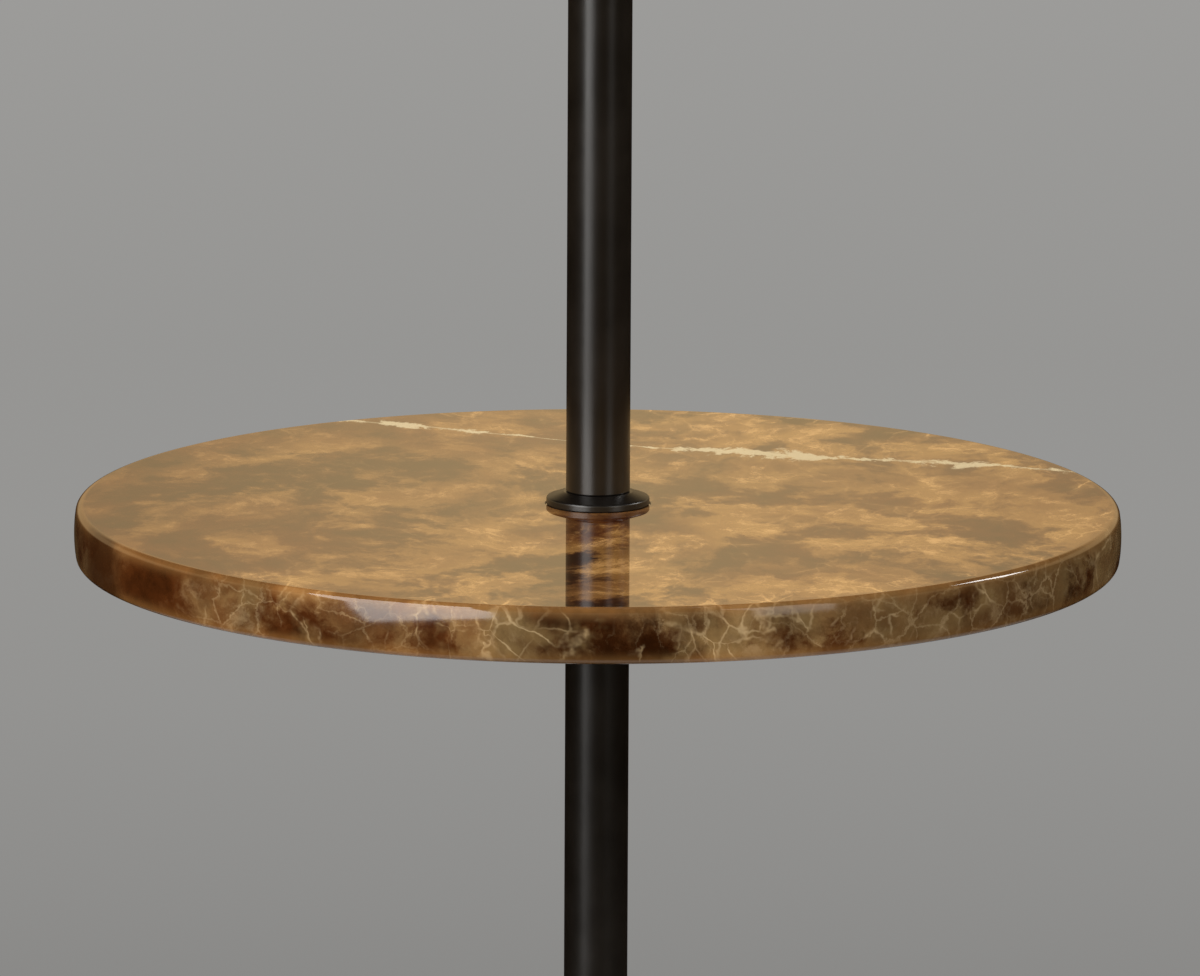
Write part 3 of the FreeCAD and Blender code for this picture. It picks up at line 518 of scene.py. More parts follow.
def addSeam(at, base):
    # one long pale seam across the back, with broad frayed patches along it
    seam = stone["seam"]
    drift = noise(at.plain, *stone["seamDrift"])
    offset = total(at.y, product(at.x, seam["slope"]))
    offset = total(offset, product(mathNode("MINIMUM", at.x, 0.0), seam["bend"]))
    belowTop = mathNode("SUBTRACT", at.z, levels("table_top")[1])
    offset = total(offset, product(belowTop, seam["lean"]))
    offset = total(mathNode("SUBTRACT", offset, seam["start"]),
                   product(mathNode("SUBTRACT", drift, 0.5), 2 * seam["wobble"]))
    spread = seam["line"]
    for centre, halfLength, halfWidth in stone["seamPatches"]:
        away = mathNode("DIVIDE", mathNode("SUBTRACT", at.x, centre), halfLength)
        swell = mathNode("EXPONENT", product(away, away, -1.0))
        spread = total(spread, product(swell, halfWidth))
    fill = mathNode("DIVIDE", mathNode("ABSOLUTE", offset), spread)
    fray = read(noise(at.shivered, *stone["seamFray"]), "fray")
    fill = mathNode("SUBTRACT", mathNode("SUBTRACT", 1.0, fill), product(fray, seam["fray"]))
    return marked(base, "seamColour", "seam", read(fill, "seam"))


def makeMarble():
    material, tree, shader = newMaterial("brownMarble")
    at = stoneFields(tree)
    base = addClouds(at)
    base = addWisps(at, base)
    base = addVeins(at, base)
    base = partTopAndSide(at, base)
    base = addSeam(at, base)
    grain = noise(at.plain, *stone["grain"])
    grain = mixColour(grain, (0.25, 0.25, 0.25, 1), (0.75, 0.75, 0.75, 1))
    base = mixColour(stone["shares"]["grain"], base, grain, "SOFT_LIGHT")
    roughness = nearRim(at.reach, *stone["dullSide"], stone["roughness"], stone["sideRoughness"])
    feed(shader, {"Base Color": base, "Roughness": roughness, "IOR": stone["ior"]})
    return material


# the metals and plastics

bronzeFinish = {
    "dark": (0.0030, 0.0019, 0.0011, 1),
    "pale": (0.0049, 0.0032, 0.0019, 1),
    "mottle": (55.0, 5.0, 0.6),  # noises: scale, detail and roughness
    "toneReads": (0.3, 0.7),
    "roughReads": (0.25, 0.75),
    "orangePeel": (1800.0, 2.0, 0.5),
    "roughness": (0.28, 0.34),
    "bump": 0.05,
    "ior": 1.61,
}
bumpDepth = 0.2 * mm  # of every metal's and plastic's fine grain
plainFinish = {
    "noise": (4.0, 0.6),  # detail and roughness
    "toneReads": (0.3, 0.7),
    "roughReads": (0.2, 0.8),
    "roughShares": (0.9, 1.15),  # of the named roughness, from the dark tone to the pale one
    "grain": 12,  # the grain is this many times finer than the tone
}


def makeBronze():
    material, tree, shader = newMaterial("darkBronze")
    place = objectCoordinates(tree)
    mottle = noise(place, *bronzeFinish["mottle"])
    tone = mixColour(smoothMap(mottle, *bronzeFinish["toneReads"]), bronzeFinish["dark"],
                     bronzeFinish["pale"])
    roughness = smoothMap(mottle, *bronzeFinish["roughReads"], *bronzeFinish["roughness"])
    feed(shader, {"Base Color": tone, "Roughness": roughness, "IOR": bronzeFinish["ior"]})
    addBump(shader, noise(place, *bronzeFinish["orangePeel"]), bronzeFinish["bump"], bumpDepth)
    return material


def makePlain(name, colour, second, roughness, metallic=0.0, scale=120.0, bump=0.04):
    # a plain finish with a slow change of tone and a fine grain
    material, tree, shader = newMaterial(name)
    place = objectCoordinates(tree)
    tone = noise(place, scale, *plainFinish["noise"])
    smooth, rough = (roughness * share for share in plainFinish["roughShares"])
    feed(shader, {"Base Color": mixColour(smoothMap(tone, *plainFinish["toneReads"]), (*colour, 1),
                                          (*second, 1)),
                  "Roughness": smoothMap(tone, *plainFinish["roughReads"], smooth, rough),
                  "Metallic": metallic})
    addBump(shader, noise(place, scale * plainFinish["grain"]), bump, bumpDepth)
    return material


marble = makeMarble()
bronze = makeBronze()
zincSteel = makePlain("zincSteel", (0.50, 0.50, 0.52), (0.60, 0.60, 0.61), 0.34, metallic=1.0)
brassPlain = makePlain("plainBrass", (0.62, 0.45, 0.17), (0.70, 0.53, 0.23), 0.3, metallic=1.0)
castIron = makePlain("castIron", (0.035, 0.034, 0.033), (0.055, 0.053, 0.05), 0.62, metallic=0.3,
                     scale=60.0, bump=0.5)
feltBlack = makePlain("feltBlack", (0.022, 0.022, 0.023), (0.045, 0.045, 0.046), 0.95, scale=500.0, bump=0.7)
rubberBlack = makePlain("rubberBlack", (0.018, 0.018, 0.018), (0.028, 0.028, 0.028), 0.6)
phenolicBrown = makePlain("phenolicBrown", (0.020, 0.016, 0.013), (0.032, 0.026, 0.021), 0.3)
fibreBoard = makePlain("fibreBoard", (0.16, 0.13, 0.10), (0.24, 0.20, 0.15), 0.85, scale=300.0, bump=0.3)
sheath = makePlain("flexSheath", (0.02, 0.02, 0.02), (0.03, 0.03, 0.03), 0.5)
styrene = makePlain("styreneLiner", (0.80, 0.77, 0.70), (0.85, 0.82, 0.75), 0.45, scale=40.0)
opalGlass = makePlain("opalGlass", (0.86, 0.85, 0.81), (0.90, 0.89, 0.86), 0.16, scale=20.0, bump=0.01)
print("materials made")


# the table

table = {
    "edge": 3.0 * mm,
    "sideCrown": 0.80 * mm,  # the side is this much fuller at its middle
    "sideSteps": 15,
    "taken": 3,  # of those steps, the rounded edge takes this many at each end
    "hole": 6.0 * mm,
    "seat": 18.25 * mm,  # the collar stands in a shallow seat
    "seatDepth": 0.5 * mm,
    "flatRing": 0.5,  # a ring of points, at this share of the radius, on both flat faces
    "segments": 512,
    "arcSteps": 12,
}


def makeTable():
    low, high = levels("table_top")
    middle = (low + high) / 2
    outer = radiusOf("table_top")
    ring, seatLevel = outer * table["flatRing"], high - table["seatDepth"]
    # the side is an arc: its set-back grows with the square of the height over or under the middle
    share = np.linspace(-1, 1, table["sideSteps"])
    side = [(outer - table["sideCrown"] * s * s, middle + s * (high - low) / 2) for s in share]
    profile = [
        (table["hole"], low), (ring, low), (*side[0], table["edge"]), *side[table["taken"]:-table["taken"]],
        (*side[-1], table["edge"]), (ring, high), (table["seat"], high), (table["seat"], seatLevel),
        (table["hole"], seatLevel),
    ]
    piece = lathe("marbleTable", profile, table["segments"], arcSteps=table["arcSteps"])
    return finishPiece(piece, marble, "stand", "marble", "table_top")


makeTable()
print("table made")


# the pole, its collars and the plate under the stone

pole = {
    "bore": 5.2 * mm,  # of collars and discs, for the hollow rod
    "tubeEdge": 0.5 * mm,
    "tubeWall": 1.2 * mm,
    "tubeRings": 12,  # rings of points up each tube
    "tubeSegments": 128,
    "rimHeight": 2.4 * mm,
    "rimEdge": 0.3 * mm,
    "collarEdge": 0.8 * mm,
    "collarFillet": 0.5 * mm,
    "collarStep": 0.9 * mm,  # the collar's neck is this much wider than the tube
    "discSegments": 160,
}


def makeTube(name, cadName):
    low, high = levels(cadName)
    outer, edge = radiusOf(cadName), pole["tubeEdge"]
    inner = outer - pole["tubeWall"]
    rings = np.linspace(low, high, pole["tubeRings"] + 2)[1:-1]
    profile = [(inner, low), (outer, low, edge), *[(outer, z) for z in rings], (outer, high, edge),
               (inner, high)]
    piece = lathe(name, profile, pole["tubeSegments"])
    return finishPiece(piece, bronze, "stand", "dark_bronze", cadName)


def makeCollar(name, cadName, upsideDown=False):
    low, high = levels(cadName)
    outer, tube = radiusOf(cadName), radiusOf("upper_tube")
    profile = [
        (pole["bore"], 0),
        (outer, 0, pole["rimEdge"]),
        (outer, pole["rimHeight"], pole["collarEdge"]),
        (tube + pole["collarStep"], high - low, pole["collarFillet"]),
        (pole["bore"], high - low),
    ]
    piece = lathe(name, profile, pole["discSegments"])
    flip = Matrix.Diagonal((1, -1, -1, 1)) if upsideDown else Matrix.Identity(4)
    turned(piece, Matrix.Translation((0, 0, high if upsideDown else low)) @ flip)
    return finishPiece(piece, bronze, "stand", "dark_bronze", cadName)


def makeDisc(name, cadName, material, slotName, edge, hole=pole["bore"]):
    low, high = levels(cadName)
    outer = radiusOf(cadName)
    profile = [(hole, low), (outer, low, edge), (outer, high, edge), (hole, high)]
    piece = lathe(name, profile, pole["discSegments"])
    return finishPiece(piece, material, "stand", slotName, cadName)


makeTube("lowerPole", "lower_tube")
makeTube("upperPole", "upper_tube")
makeCollar("baseCollar", "base_collar")
makeCollar("underCollar", "under_collar", True)
makeCollar("tableCollar", "table_collar")
makeCollar("headCollar", "head_collar", True)
makeDisc("supportPlate", "table_support_plate", bronze, "dark_bronze", 0.8 * mm)
makeDisc("stoneGasket", "lower_gasket", rubberBlack, "rubber", 0.3 * mm, table["hole"])
print("pole made")


# the foot

foot = {
    "wall": 1.5 * mm,
    "edge": 0.5 * mm,
    "shoulder": 5.0 * mm,  # rounding of the shoulder
    "crown": 3.0 * mm,  # rise of the top from its shoulder to its land
    "crownRing": 0.62,  # half of that rise is reached at this share of the radius
    "crownArc": 300 * mm,
    "land": 30.0 * mm,  # radius of the level place under the collar
    "landArc": 40 * mm,
    "inletInside": 10 * mm,  # the inlet's cutter starts this far inside the rear
    "segments": 256,
    "arcSteps": 10,
    "padEdge": 0.6 * mm,
}
bushing = {
    "height": 9.0 * mm,  # of its middle over the floor
    "bore": 3.6 * mm,
    "neck": 5.5 * mm,
    "flange": 7.0 * mm,
    "flangeDepth": 1.8 * mm,
    "innerEdge": 0.3 * mm,
    "outerEdge": 0.5 * mm,
    "lip": 0.9 * mm,  # rounding of the flange that shows
    "taper": 0.4 * mm,
    "segments": 64,
}


def makeFoot():
    low, high = levels("base_cover")
    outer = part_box("base_cover")[1].y
    wall, shoulder, land = foot["wall"], high - foot["crown"], foot["land"]
    cover = lathe("footCover", [
        (outer - wall, low), (outer, low, foot["edge"]), (outer, shoulder, foot["shoulder"]),
        (outer * foot["crownRing"], shoulder + foot["crown"] * 0.5, foot["crownArc"]),
        (land, high, foot["landArc"]), (pole["bore"], high), (pole["bore"], high - wall), (land, high - wall),
        (outer - wall, shoulder - wall, foot["shoulder"] - wall),
    ], foot["segments"], arcSteps=foot["arcSteps"])
    inlet = laidDown(cutter(bushing["neck"], bushing["segments"]),
                     (0, outer - foot["inletInside"], bushing["height"]), 1)
    cutOut(cover, inlet)
    finishPiece(cover, bronze, "stand", "dark_bronze", "base_cover")


def makeBushing():
    front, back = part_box("cord_bushing")[0].y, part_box("cord_bushing")[1].y
    depth, flange, thick = back - front, bushing["flange"], bushing["flangeDepth"]
    piece = lathe("cordBushing", [
        (bushing["bore"], 0), (flange, 0, bushing["outerEdge"]), (flange, thick, bushing["innerEdge"]),
        (bushing["neck"], thick), (bushing["neck"], depth - thick),
        (flange, depth - thick, bushing["innerEdge"]), (flange - bushing["taper"], depth, bushing["lip"]),
        (bushing["bore"], depth, bushing["outerEdge"]),
    ], bushing["segments"])
    laidDown(piece, (0, front, bushing["height"]), 1)
    finishPiece(piece, rubberBlack, "stand", "rubber", "cord_bushing")


makeFoot()
makeBushing()
makeDisc("feltPad", "base_pad", feltBlack, "felt", foot["padEdge"])
print("foot made")


# the lamp holder, its switch and the bulb

holder = {
    "hub": 5.05 * mm,  # the hole for the hollow rod
    "wall": 0.8 * mm,
    "capBase": 9.0 * mm,  # radius of the cap's level bottom
    "capBaseEdge": 1.0 * mm,
    "capCurve": 8.0 * mm,  # height and radius of the cap's rounded side
    "capInset": 0.4 * mm,
    "capLip": 1.6 * mm,
    "capEdge": 0.4 * mm,
    "shellBeads": (0.40, 0.62, 0.84),  # heights of the raised beads along the shell
    "beadHeight": 0.35 * mm,
    "beadWidth": 0.02,  # as a share of the shell
    "shellRings": 72,
    "stemHole": 3.5 * mm,
    "stemStart": 8 * mm,  # its cutter starts this far before the middle
    "stemSegments": 48,
    "segments": 96,
}
turnKey = {
    "half": 5.5 * mm,  # half the width of the whole key
    "hub": 0.74,  # shares of that: the round hub, and the blade's thickness
    "blade": 0.31,
    # shares of the length: where the hub starts to turn into the blade, how long that takes, and the same
    # for the rounded tip
    "bladeStart": 0.28,
    "bladeRun": 0.22,
    "tipStart": 0.88,
    "tipRun": 0.13,
    "squareness": 1.2,
    "rings": 40,
    "segments": 72,
}
bulb = {
    "neck": 12.8 * mm,
    "touch": math.radians(-20),  # where the neck's curve meets the globe
    "neckPull": 1.15,  # how far the curve keeps to its direction at either end
    "globePull": 1.05,
    "neckRings": 28,
    "globeRings": 40,
    "segments": 96,
}


def makeHolder():
    low, high = levels("socket_cap")
    outer, wall = radiusOf("socket_cap"), holder["wall"]
    base, curve, inset = holder["capBase"], holder["capCurve"], holder["capInset"]
    cap = lathe("holderCap", [
        (holder["hub"], low), (base, low, holder["capBaseEdge"]), (outer, low + curve, curve),
        (outer, high - holder["capLip"]), (outer, high, holder["capEdge"]), (outer - wall, high),
        (outer - wall, low + curve + inset, curve - wall), (base - inset, low + wall),
        (holder["hub"], low + wall),
    ], holder["segments"])
    finishPiece(cap, bronze, "stand", "dark_bronze", "socket_cap")

    low, high = levels("socket_shell")
    outer = radiusOf("socket_shell") - holder["beadHeight"]
    rings = np.linspace(low, high, holder["shellRings"])
    share = (rings - low) / (high - low)
    beads = sum(np.exp(-((share - centre) / holder["beadWidth"]) ** 2) for centre in holder["shellBeads"])
    outside = np.column_stack([outer + holder["beadHeight"] * beads, rings])
    profile = np.vstack([outside, [[outer - wall, high], [outer - wall, low]]])
    shell = ringSolid("holderShell", profile, holder["segments"])
    stemLevel = sum(levels("switch_stem")) / 2
    hole = laidDown(cutter(holder["stemHole"], holder["stemSegments"]),
                    (0, -holder["stemStart"], stemLevel), -1)
    cutOut(shell, hole)
    finishPiece(shell, bronze, "stand", "dark_bronze", "socket_shell")


def makeKnob():
    # a turn key: its section runs from a round hub to a flat blade, as a superellipse whose half widths and
    # power change with the distance t along it
    low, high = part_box("switch_knob")
    length = high.y - low.y
    level = (low.z + high.z) / 2
    t = np.concatenate([[0.0], np.linspace(0.02, 0.97, turnKey["rings"]), [0.99, 1.0]])
    blade = np.clip((t - turnKey["bladeStart"]) / turnKey["bladeRun"], 0, 1)
    blade = blade * blade * (3 - 2 * blade)
    tip = np.sqrt(np.clip(1 - np.clip((t - turnKey["tipStart"]) / turnKey["tipRun"], 0, 1) ** 2, 0.05, 1))
    halfWide = turnKey["half"] * (turnKey["hub"] * (1 - blade) + blade) * tip
    halfThick = turnKey["half"] * (turnKey["hub"] * (1 - blade) + turnKey["blade"] * blade) * tip
    angle = roundAngles(turnKey["segments"])
    power = 2 / (2 + turnKey["squareness"] * blade)[:, None]
    c, s = np.cos(angle), np.sin(angle)
    x = halfThick[:, None] * np.sign(c) * np.abs(c) ** power
    z = halfWide[:, None] * np.sign(s) * np.abs(s) ** power
    y = high.y - t[:, None] * length + 0 * x
    points = np.stack([x, y, z + level], -1)
    knob = gridSolid("switchKnob", points, startPole=(0, high.y, level), endPole=(0, low.y, level))
    finishPiece(knob, phenolicBrown, "switch", "phenolic", "switch_knob")


def makeBulb():
    # the neck starts upright and meets the globe in line with it at the touch angle: a cubic between the two
    # points with those directions, and then the circle up to the pole
    low, high = levels("bulb_globe")
    outer = radiusOf("bulb_globe")
    centre, touch = high - outer, bulb["touch"]
    first = np.array([bulb["neck"], low])
    last = np.array([outer * math.cos(touch), centre + outer * math.sin(touch)])
    length = np.linalg.norm(last - first)
    up = np.array([0, 1]) * length * bulb["neckPull"]
    on = np.array([-math.sin(touch), math.cos(touch)]) * length * bulb["globePull"]
    t = np.linspace(0, 1, bulb["neckRings"])[:, None]
    flow = (first * (2 * t ** 3 - 3 * t ** 2 + 1) + up * (t ** 3 - 2 * t ** 2 + t)
            + last * (3 * t ** 2 - 2 * t ** 3) + on * (t ** 3 - t ** 2))
    angle = np.linspace(touch, math.pi / 2, bulb["globeRings"])[1:-1]
    ball = np.column_stack([outer * np.cos(angle), centre + outer * np.sin(angle)])
    profile = np.vstack([flow, ball])
    globe = gridSolid("bulbGlobe", turnGrid(profile, bulb["segments"]), startPole=(0, 0, low),
                      endPole=(0, 0, high), smoothAngle=60)
    finishPiece(globe, opalGlass, "bulb", "opal_glass", "bulb_globe")


makeHolder()
makeKnob()
makeBulb()
print("lamp holder made")


# the harp

harp = {
    "gauge": 1.6 * mm,
    "sides": 24,
    # millimetres: x, height over the saddle, rounding
    "corners": [(29, 9, 0), (29, 40, 24), (57.5, 100, 30), (57.5, 150, 30), (14, 208, 12)],
}
ferrule = {
    "bore": 1.7 * mm,
    "flange": 2.0 * mm,  # height of the wider foot
    "slope": 0.6 * mm,
    "step": 0.5 * mm,
    "edge": 0.3 * mm,
    "topEdge": 0.6 * mm,
    "segments": 48,
}
stud = {
    "base": 4.5 * mm,
    "baseEdge": 0.6 * mm,
    "baseHeight": 8.0 * mm,
    "flange": 8.0 * mm,
    "flangeThick": 1.5 * mm,
    "flangeEdge": 0.4 * mm,
    "thread": 3.05 * mm,
    "threadEdge": 0.5 * mm,
    "segments": 64,
}


def makeHarp():
    saddleTop = levels("head_washer")[0]
    side = [(x * mm, z * mm + saddleTop, radius * mm) for x, z, radius in harp["corners"]]
    corners = side + [(-x, z, radius) for x, z, radius in reversed(side)]
    route = roundedRoute(corners)
    wire = wireSolid("harpWire", route, harp["gauge"], harp["sides"])
    finishPiece(wire, bronze, "stand", "dark_bronze", "harp")


def makeFerrule(name, cadName, body):
    low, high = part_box(cadName)
    outer = (high.y - low.y) / 2
    shoulder = low.z + ferrule["flange"]
    piece = lathe(name, [
        (ferrule["bore"], low.z), (outer, low.z, ferrule["edge"]), (outer, shoulder, ferrule["edge"]),
        (outer - ferrule["step"], shoulder + ferrule["slope"], ferrule["edge"]),
        (outer - ferrule["step"], high.z, ferrule["topEdge"]), (ferrule["bore"], high.z),
    ], ferrule["segments"])
    turned(piece, Matrix.Translation(((low.x + high.x) / 2, 0, 0)))
    finishPiece(piece, bronze, body, "dark_bronze", cadName)


def makeStud():
    low, high = levels("harp_stud")
    baseTop = low + stud["baseHeight"]
    flangeTop = baseTop + stud["flangeThick"]
    piece = lathe("harpStud", [
        (0, low), (stud["base"], low, stud["baseEdge"]), (stud["base"], baseTop),
        (stud["flange"], baseTop, stud["flangeEdge"]), (stud["flange"], flangeTop, stud["flangeEdge"]),
        (stud["thread"], flangeTop), (stud["thread"], high, stud["threadEdge"]), (0, high),
    ], stud["segments"], closed=False)
    finishPiece(piece, bronze, "stand", "dark_bronze", "harp_stud")


makeHarp()
makeFerrule("harpFerruleLeft", "harp_ferrule_left", "ferrule_left")
makeFerrule("harpFerruleRight", "harp_ferrule_right", "ferrule_right")
makeStud()
print("harp made")


# the shade and its frame

shade = {
    "segments": 256,
    "rows": 24,  # rings of points up the cloth
    "fabric": 0.6 * mm,
    "seamWidth": 12 * mm,
    "seamRise": 0.35 * mm,
    "seamStep": 1.2 * mm,
    "liner": 0.8 * mm,
    "linerInset": 0.7 * mm,  # the liner's outside lies this far inside the cloth's
    "tape": 0.5 * mm,
    "tapeOffset": 0.6 * mm,  # the tape's outside lies this far outside the cloth's
    "tapeEdge": 0.15 * mm,
    "tapeWidth": 22 * mm,  # round the edge, for the weave
}
linenFinish = {
    # threads to a metre, pale and dark tone
    "cloth": (450.0, (0.78, 0.72, 0.62), (0.55, 0.49, 0.40)),
    "tape": (700.0, (0.74, 0.68, 0.58), (0.58, 0.52, 0.43)),
    "slubs": ((9.0, 420.0, 1.0), (420.0, 9.0, 1.0)),  # thick threads across and up the cloth
    "slubNoise": (1.0, 4.0, 0.6),
    "shares": (0.35, 0.65),  # of weave and slubs in the tone
    "reads": (0.25, 0.7),
    "seamShadow": (0.30, 0.26, 0.20, 1),
    # the seam's dark band and the shadow at its edges: how much shows, and how soft they are
    "band": (0.10, 0.4 * mm),
    "edge": (0.45, 0.7 * mm),
    "edgeOutside": 0.1 * mm,
    "sheen": 0.15,
    "roughness": 0.9,
    "bump": (0.6, 0.4 * mm),
}


def makeLinen(name, threads, light, dark, seamPlace=None):
    # warp and weft as two sine waves over the cloth's own UV, in metres, with uneven thick threads, and at
    # the seam a denser band where the cloth lies double, with a fine shadow at its edges
    material, tree, shader = newMaterial(name)
    uv = node("UVMap", {}, tree, uv_map="surface").outputs[0]
    split = node("SeparateXYZ", {0: uv})
    slubs = []
    for scale in linenFinish["slubs"]:
        place = node("Mapping", {"Vector": uv, "Scale": scale}).outputs[0]
        slubs.append(noise(place, *linenFinish["slubNoise"]))
    waves = []
    for axis in (0, 1):
        phase = product(split.outputs[axis], 2 * math.pi * threads)
        waves.append(mathNode("ABSOLUTE", mathNode("SINE", phase)))
    weave = product(*waves)
    slub = product(total(*slubs), 0.5)
    weaveShare, slubShare = linenFinish["shares"]
    tone = total(product(weave, weaveShare), product(slub, slubShare))
    colour = mixColour(smoothMap(tone, *linenFinish["reads"]), (*dark, 1), (*light, 1))
    if seamPlace:
        half = shade["seamWidth"] / 2
        away = gap(split.outputs[0], seamPlace)
        bandShare, bandSoft = linenFinish["band"]
        band = smoothMap(away, half + bandSoft, half - bandSoft)
        edgeShare, edgeSoft = linenFinish["edge"]
        edge = smoothMap(gap(away, half + linenFinish["edgeOutside"]), edgeSoft, 0.0)
        colour = mixColour(product(band, bandShare), colour, (*dark, 1))
        colour = mixColour(product(edge, edgeShare), colour, linenFinish["seamShadow"])
    feed(shader, {"Base Color": colour, "Roughness": linenFinish["roughness"],
                  "Sheen Weight": linenFinish["sheen"]})
    height = product(total(weave, slub), 0.5)
    addBump(shader, height, *linenFinish["bump"])
    return material


def clothRadiusAt(height):
    # the cloth's outside radius at a height: its wall leans straight from its own foot to the top tape
    bandLow = levels("shade_trim_top")[0]
    low, high = levels("shade_fabric")
    lowRadius = radiusOf("shade_fabric")
    bandRadius = radiusOf("shade_trim_top") - shade["tapeOffset"]
    share = (bandLow - low) / (high - low)
    return lowRadius + (bandRadius - lowRadius) / share * (height - low) / (high - low)


def wallProfile(low, high, lowRadius, highRadius, thickness, rows, edge=0.0):
    # up the outside, then down the inside of a leaning wall
    share = np.linspace(0, 1, rows)
    outside = np.column_stack([lowRadius + (highRadius - lowRadius) * share, low + (high - low) * share])
    outside[0, 0] -= edge
    outside[-1, 0] -= edge
    inside = outside[::-1] - np.array([thickness, 0])
    inside[0, 0] = outside[-1, 0] - thickness + edge
    inside[-1, 0] = outside[0, 0] - thickness + edge
    return np.vstack([outside, inside])


def makeShade():
    low, high = levels("shade_fabric")
    lowRadius = radiusOf("shade_fabric")
    highRadius = clothRadiusAt(high)
    rows, segments = shade["rows"], shade["segments"]
    fabricGrid = turnGrid(wallProfile(low, high, lowRadius, highRadius, shade["fabric"], rows), segments)
    # the seam at the back is a strip where the cloth laps over itself: the outside moves out by the rise
    angle = roundAngles(segments)
    fromBack = np.abs(angle - math.pi / 2) * (lowRadius + highRadius) / 2
    lap = 0.5 - 0.5 * np.tanh((fromBack - shade["seamWidth"] / 2) / shade["seamStep"])
    outward = np.stack([np.cos(angle), np.sin(angle), 0 * angle], -1)
    fabricGrid[:rows] += (shade["seamRise"] * lap)[None, :, None] * outward[None]
    around = 2 * math.pi * (lowRadius + highRadius) / 2
    slant = math.hypot(high - low, lowRadius - highRadius)
    fabric = gridSolid("shadeFabric", fabricGrid, closedRows=True, uvSize=(around, 2 * slant))
    linen = makeLinen("linen", *linenFinish["cloth"], seamPlace=around / 4)
    finishPiece(fabric, linen, "shade", "linen", "shade_fabric")

    inset = shade["linerInset"]
    liner = ringSolid("shadeLiner", wallProfile(low, high, lowRadius - inset, highRadius - inset,
                                                shade["liner"], rows // 2), segments)
    finishPiece(liner, styrene, "shade", "styrene", "shade_liner")

    tape = makeLinen("linenTape", *linenFinish["tape"])
    for name, cadName in (("shadeTapeBottom", "shade_trim_bottom"), ("shadeTapeTop", "shade_trim_top")):
        bandLow, bandHigh = levels(cadName)
        share = (np.array([bandLow, bandHigh]) - low) / (high - low)
        radii = lowRadius + (highRadius - lowRadius) * share + shade["tapeOffset"]
        wall = wallProfile(bandLow, bandHigh, *radii, shade["tape"], rows // 4, shade["tapeEdge"])
        band = ringSolid(name, wall, segments, uvSize=(around, shade["tapeWidth"]))
        finishPiece(band, tape, "shade", "linen", cadName)


spider = {
    "gauge": 1.5 * mm,  # half the wire's thickness, of rings and arms
    "sides": 20,
    "drop": 13 * mm,  # the hub lies this far below the ring
    "arms": 3,
    "armFlat": 45 * mm,  # where an arm starts to rise, and how softly
    "armBend": 30 * mm,
    "armStart": 8 * mm,
    "hub": 11 * mm,
    "hubHole": 3.3 * mm,
    "hubHalf": 1 * mm,
    "hubEdge": 0.3 * mm,
    "hubSegments": 96,
}
finial = {
    "segments": 128,
    # millimetres: radius, height over the foot, rounding
    "foot": [(7, 0, 0.4), (7, 2.5, 0.8), (5, 3.5, 0.6)],
    # the same for the bulge over it, with the height as a share of the whole
    "bulge": [(5, 0.25, 2), (9, 0.42, 3.4), (9, 0.72, 5), (3.6, 1.0, 1.5)],
}


def torus(name, radius, height):
    # the wire's circle about the radius and height, turned round Z
    angle, gauge = roundAngles(spider["sides"]), spider["gauge"]
    circle = np.column_stack([radius + gauge * np.cos(angle), height + gauge * np.sin(angle)])
    return ringSolid(name, circle, shade["segments"], smoothAngle=80)


def makeFrame():
    low, high = levels("shade_bottom_ring")
    gauge = spider["gauge"]
    ring = torus("shadeBottomRing", radiusOf("shade_bottom_ring") - gauge, (low + high) / 2)
    finishPiece(ring, bronze, "shade", "dark_bronze", "shade_bottom_ring")

    ringLevel = levels("shade_spider")[1] - gauge
    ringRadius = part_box("shade_spider")[1].y - gauge
    middle = ringLevel - spider["drop"]
    below, above = middle - spider["hubHalf"], middle + spider["hubHalf"]
    hub = lathe("spiderHub", [
        (spider["hubHole"], below), (spider["hub"], below, spider["hubEdge"]),
        (spider["hub"], above, spider["hubEdge"]), (spider["hubHole"], above),
    ], spider["hubSegments"])
    topRing = torus("spiderRing", ringRadius, ringLevel)
    route = roundedRoute([(spider["armStart"], middle, 0), (spider["armFlat"], middle, spider["armBend"]),
                          (ringRadius, ringLevel, 0)])
    arms = []
    for number in range(spider["arms"]):
        arm = wireSolid(f"spiderArm{number}", route, gauge, spider["sides"])
        turn = math.radians(90 + 360 * number / spider["arms"])
        arms.append(turned(arm, Matrix.Rotation(turn, 4, "Z")))
    finishPiece(joined("shadeSpider", hub, topRing, *arms), bronze, "shade", "dark_bronze", "shade_spider")


def makeFinial():
    low, high = levels("finial")
    profile = [(radius * mm, low + z * mm, edge * mm) for radius, z, edge in finial["foot"]]
    profile += [(radius * mm, low + (high - low) * share, edge * mm)
                for radius, share, edge in finial["bulge"]]
    piece = lathe("finialKnob", [(0, low), *profile, (0, high)], finial["segments"], closed=False)
    finishPiece(piece, bronze, "finial", "dark_bronze", "finial")


makeShade()
makeFrame()
makeFinial()
print("shade made")


# the pieces inside keep their shape and get their finish

inner = {
    zincSteel: ["base_washer", "base_nut", "base_nipple", "lower_tube_plugs", "upper_tube_plugs",
                "table_nipple", "head_nipple", "head_washer", "bulb_cap", "bulb_contact"],
    brassPlain: ["terminal_screws", "socket_screw_shell", "socket_contact", "socket_terminals",
                 "switch_stem"],
    castIron: ["base_weight"],
    rubberBlack: ["upper_gasket"],
    phenolicBrown: ["terminal_block", "socket_body", "bulb_insulator"],
    fibreBoard: ["socket_liner"],
    bronze: ["harp_saddle"],
    sheath: ["inner_flex"],
}
for material, names in inner.items():
    for name in names:
        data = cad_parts[name].data
        data.materials.clear()
        data.materials.append(material)
print("inner pieces finished")


# the camera

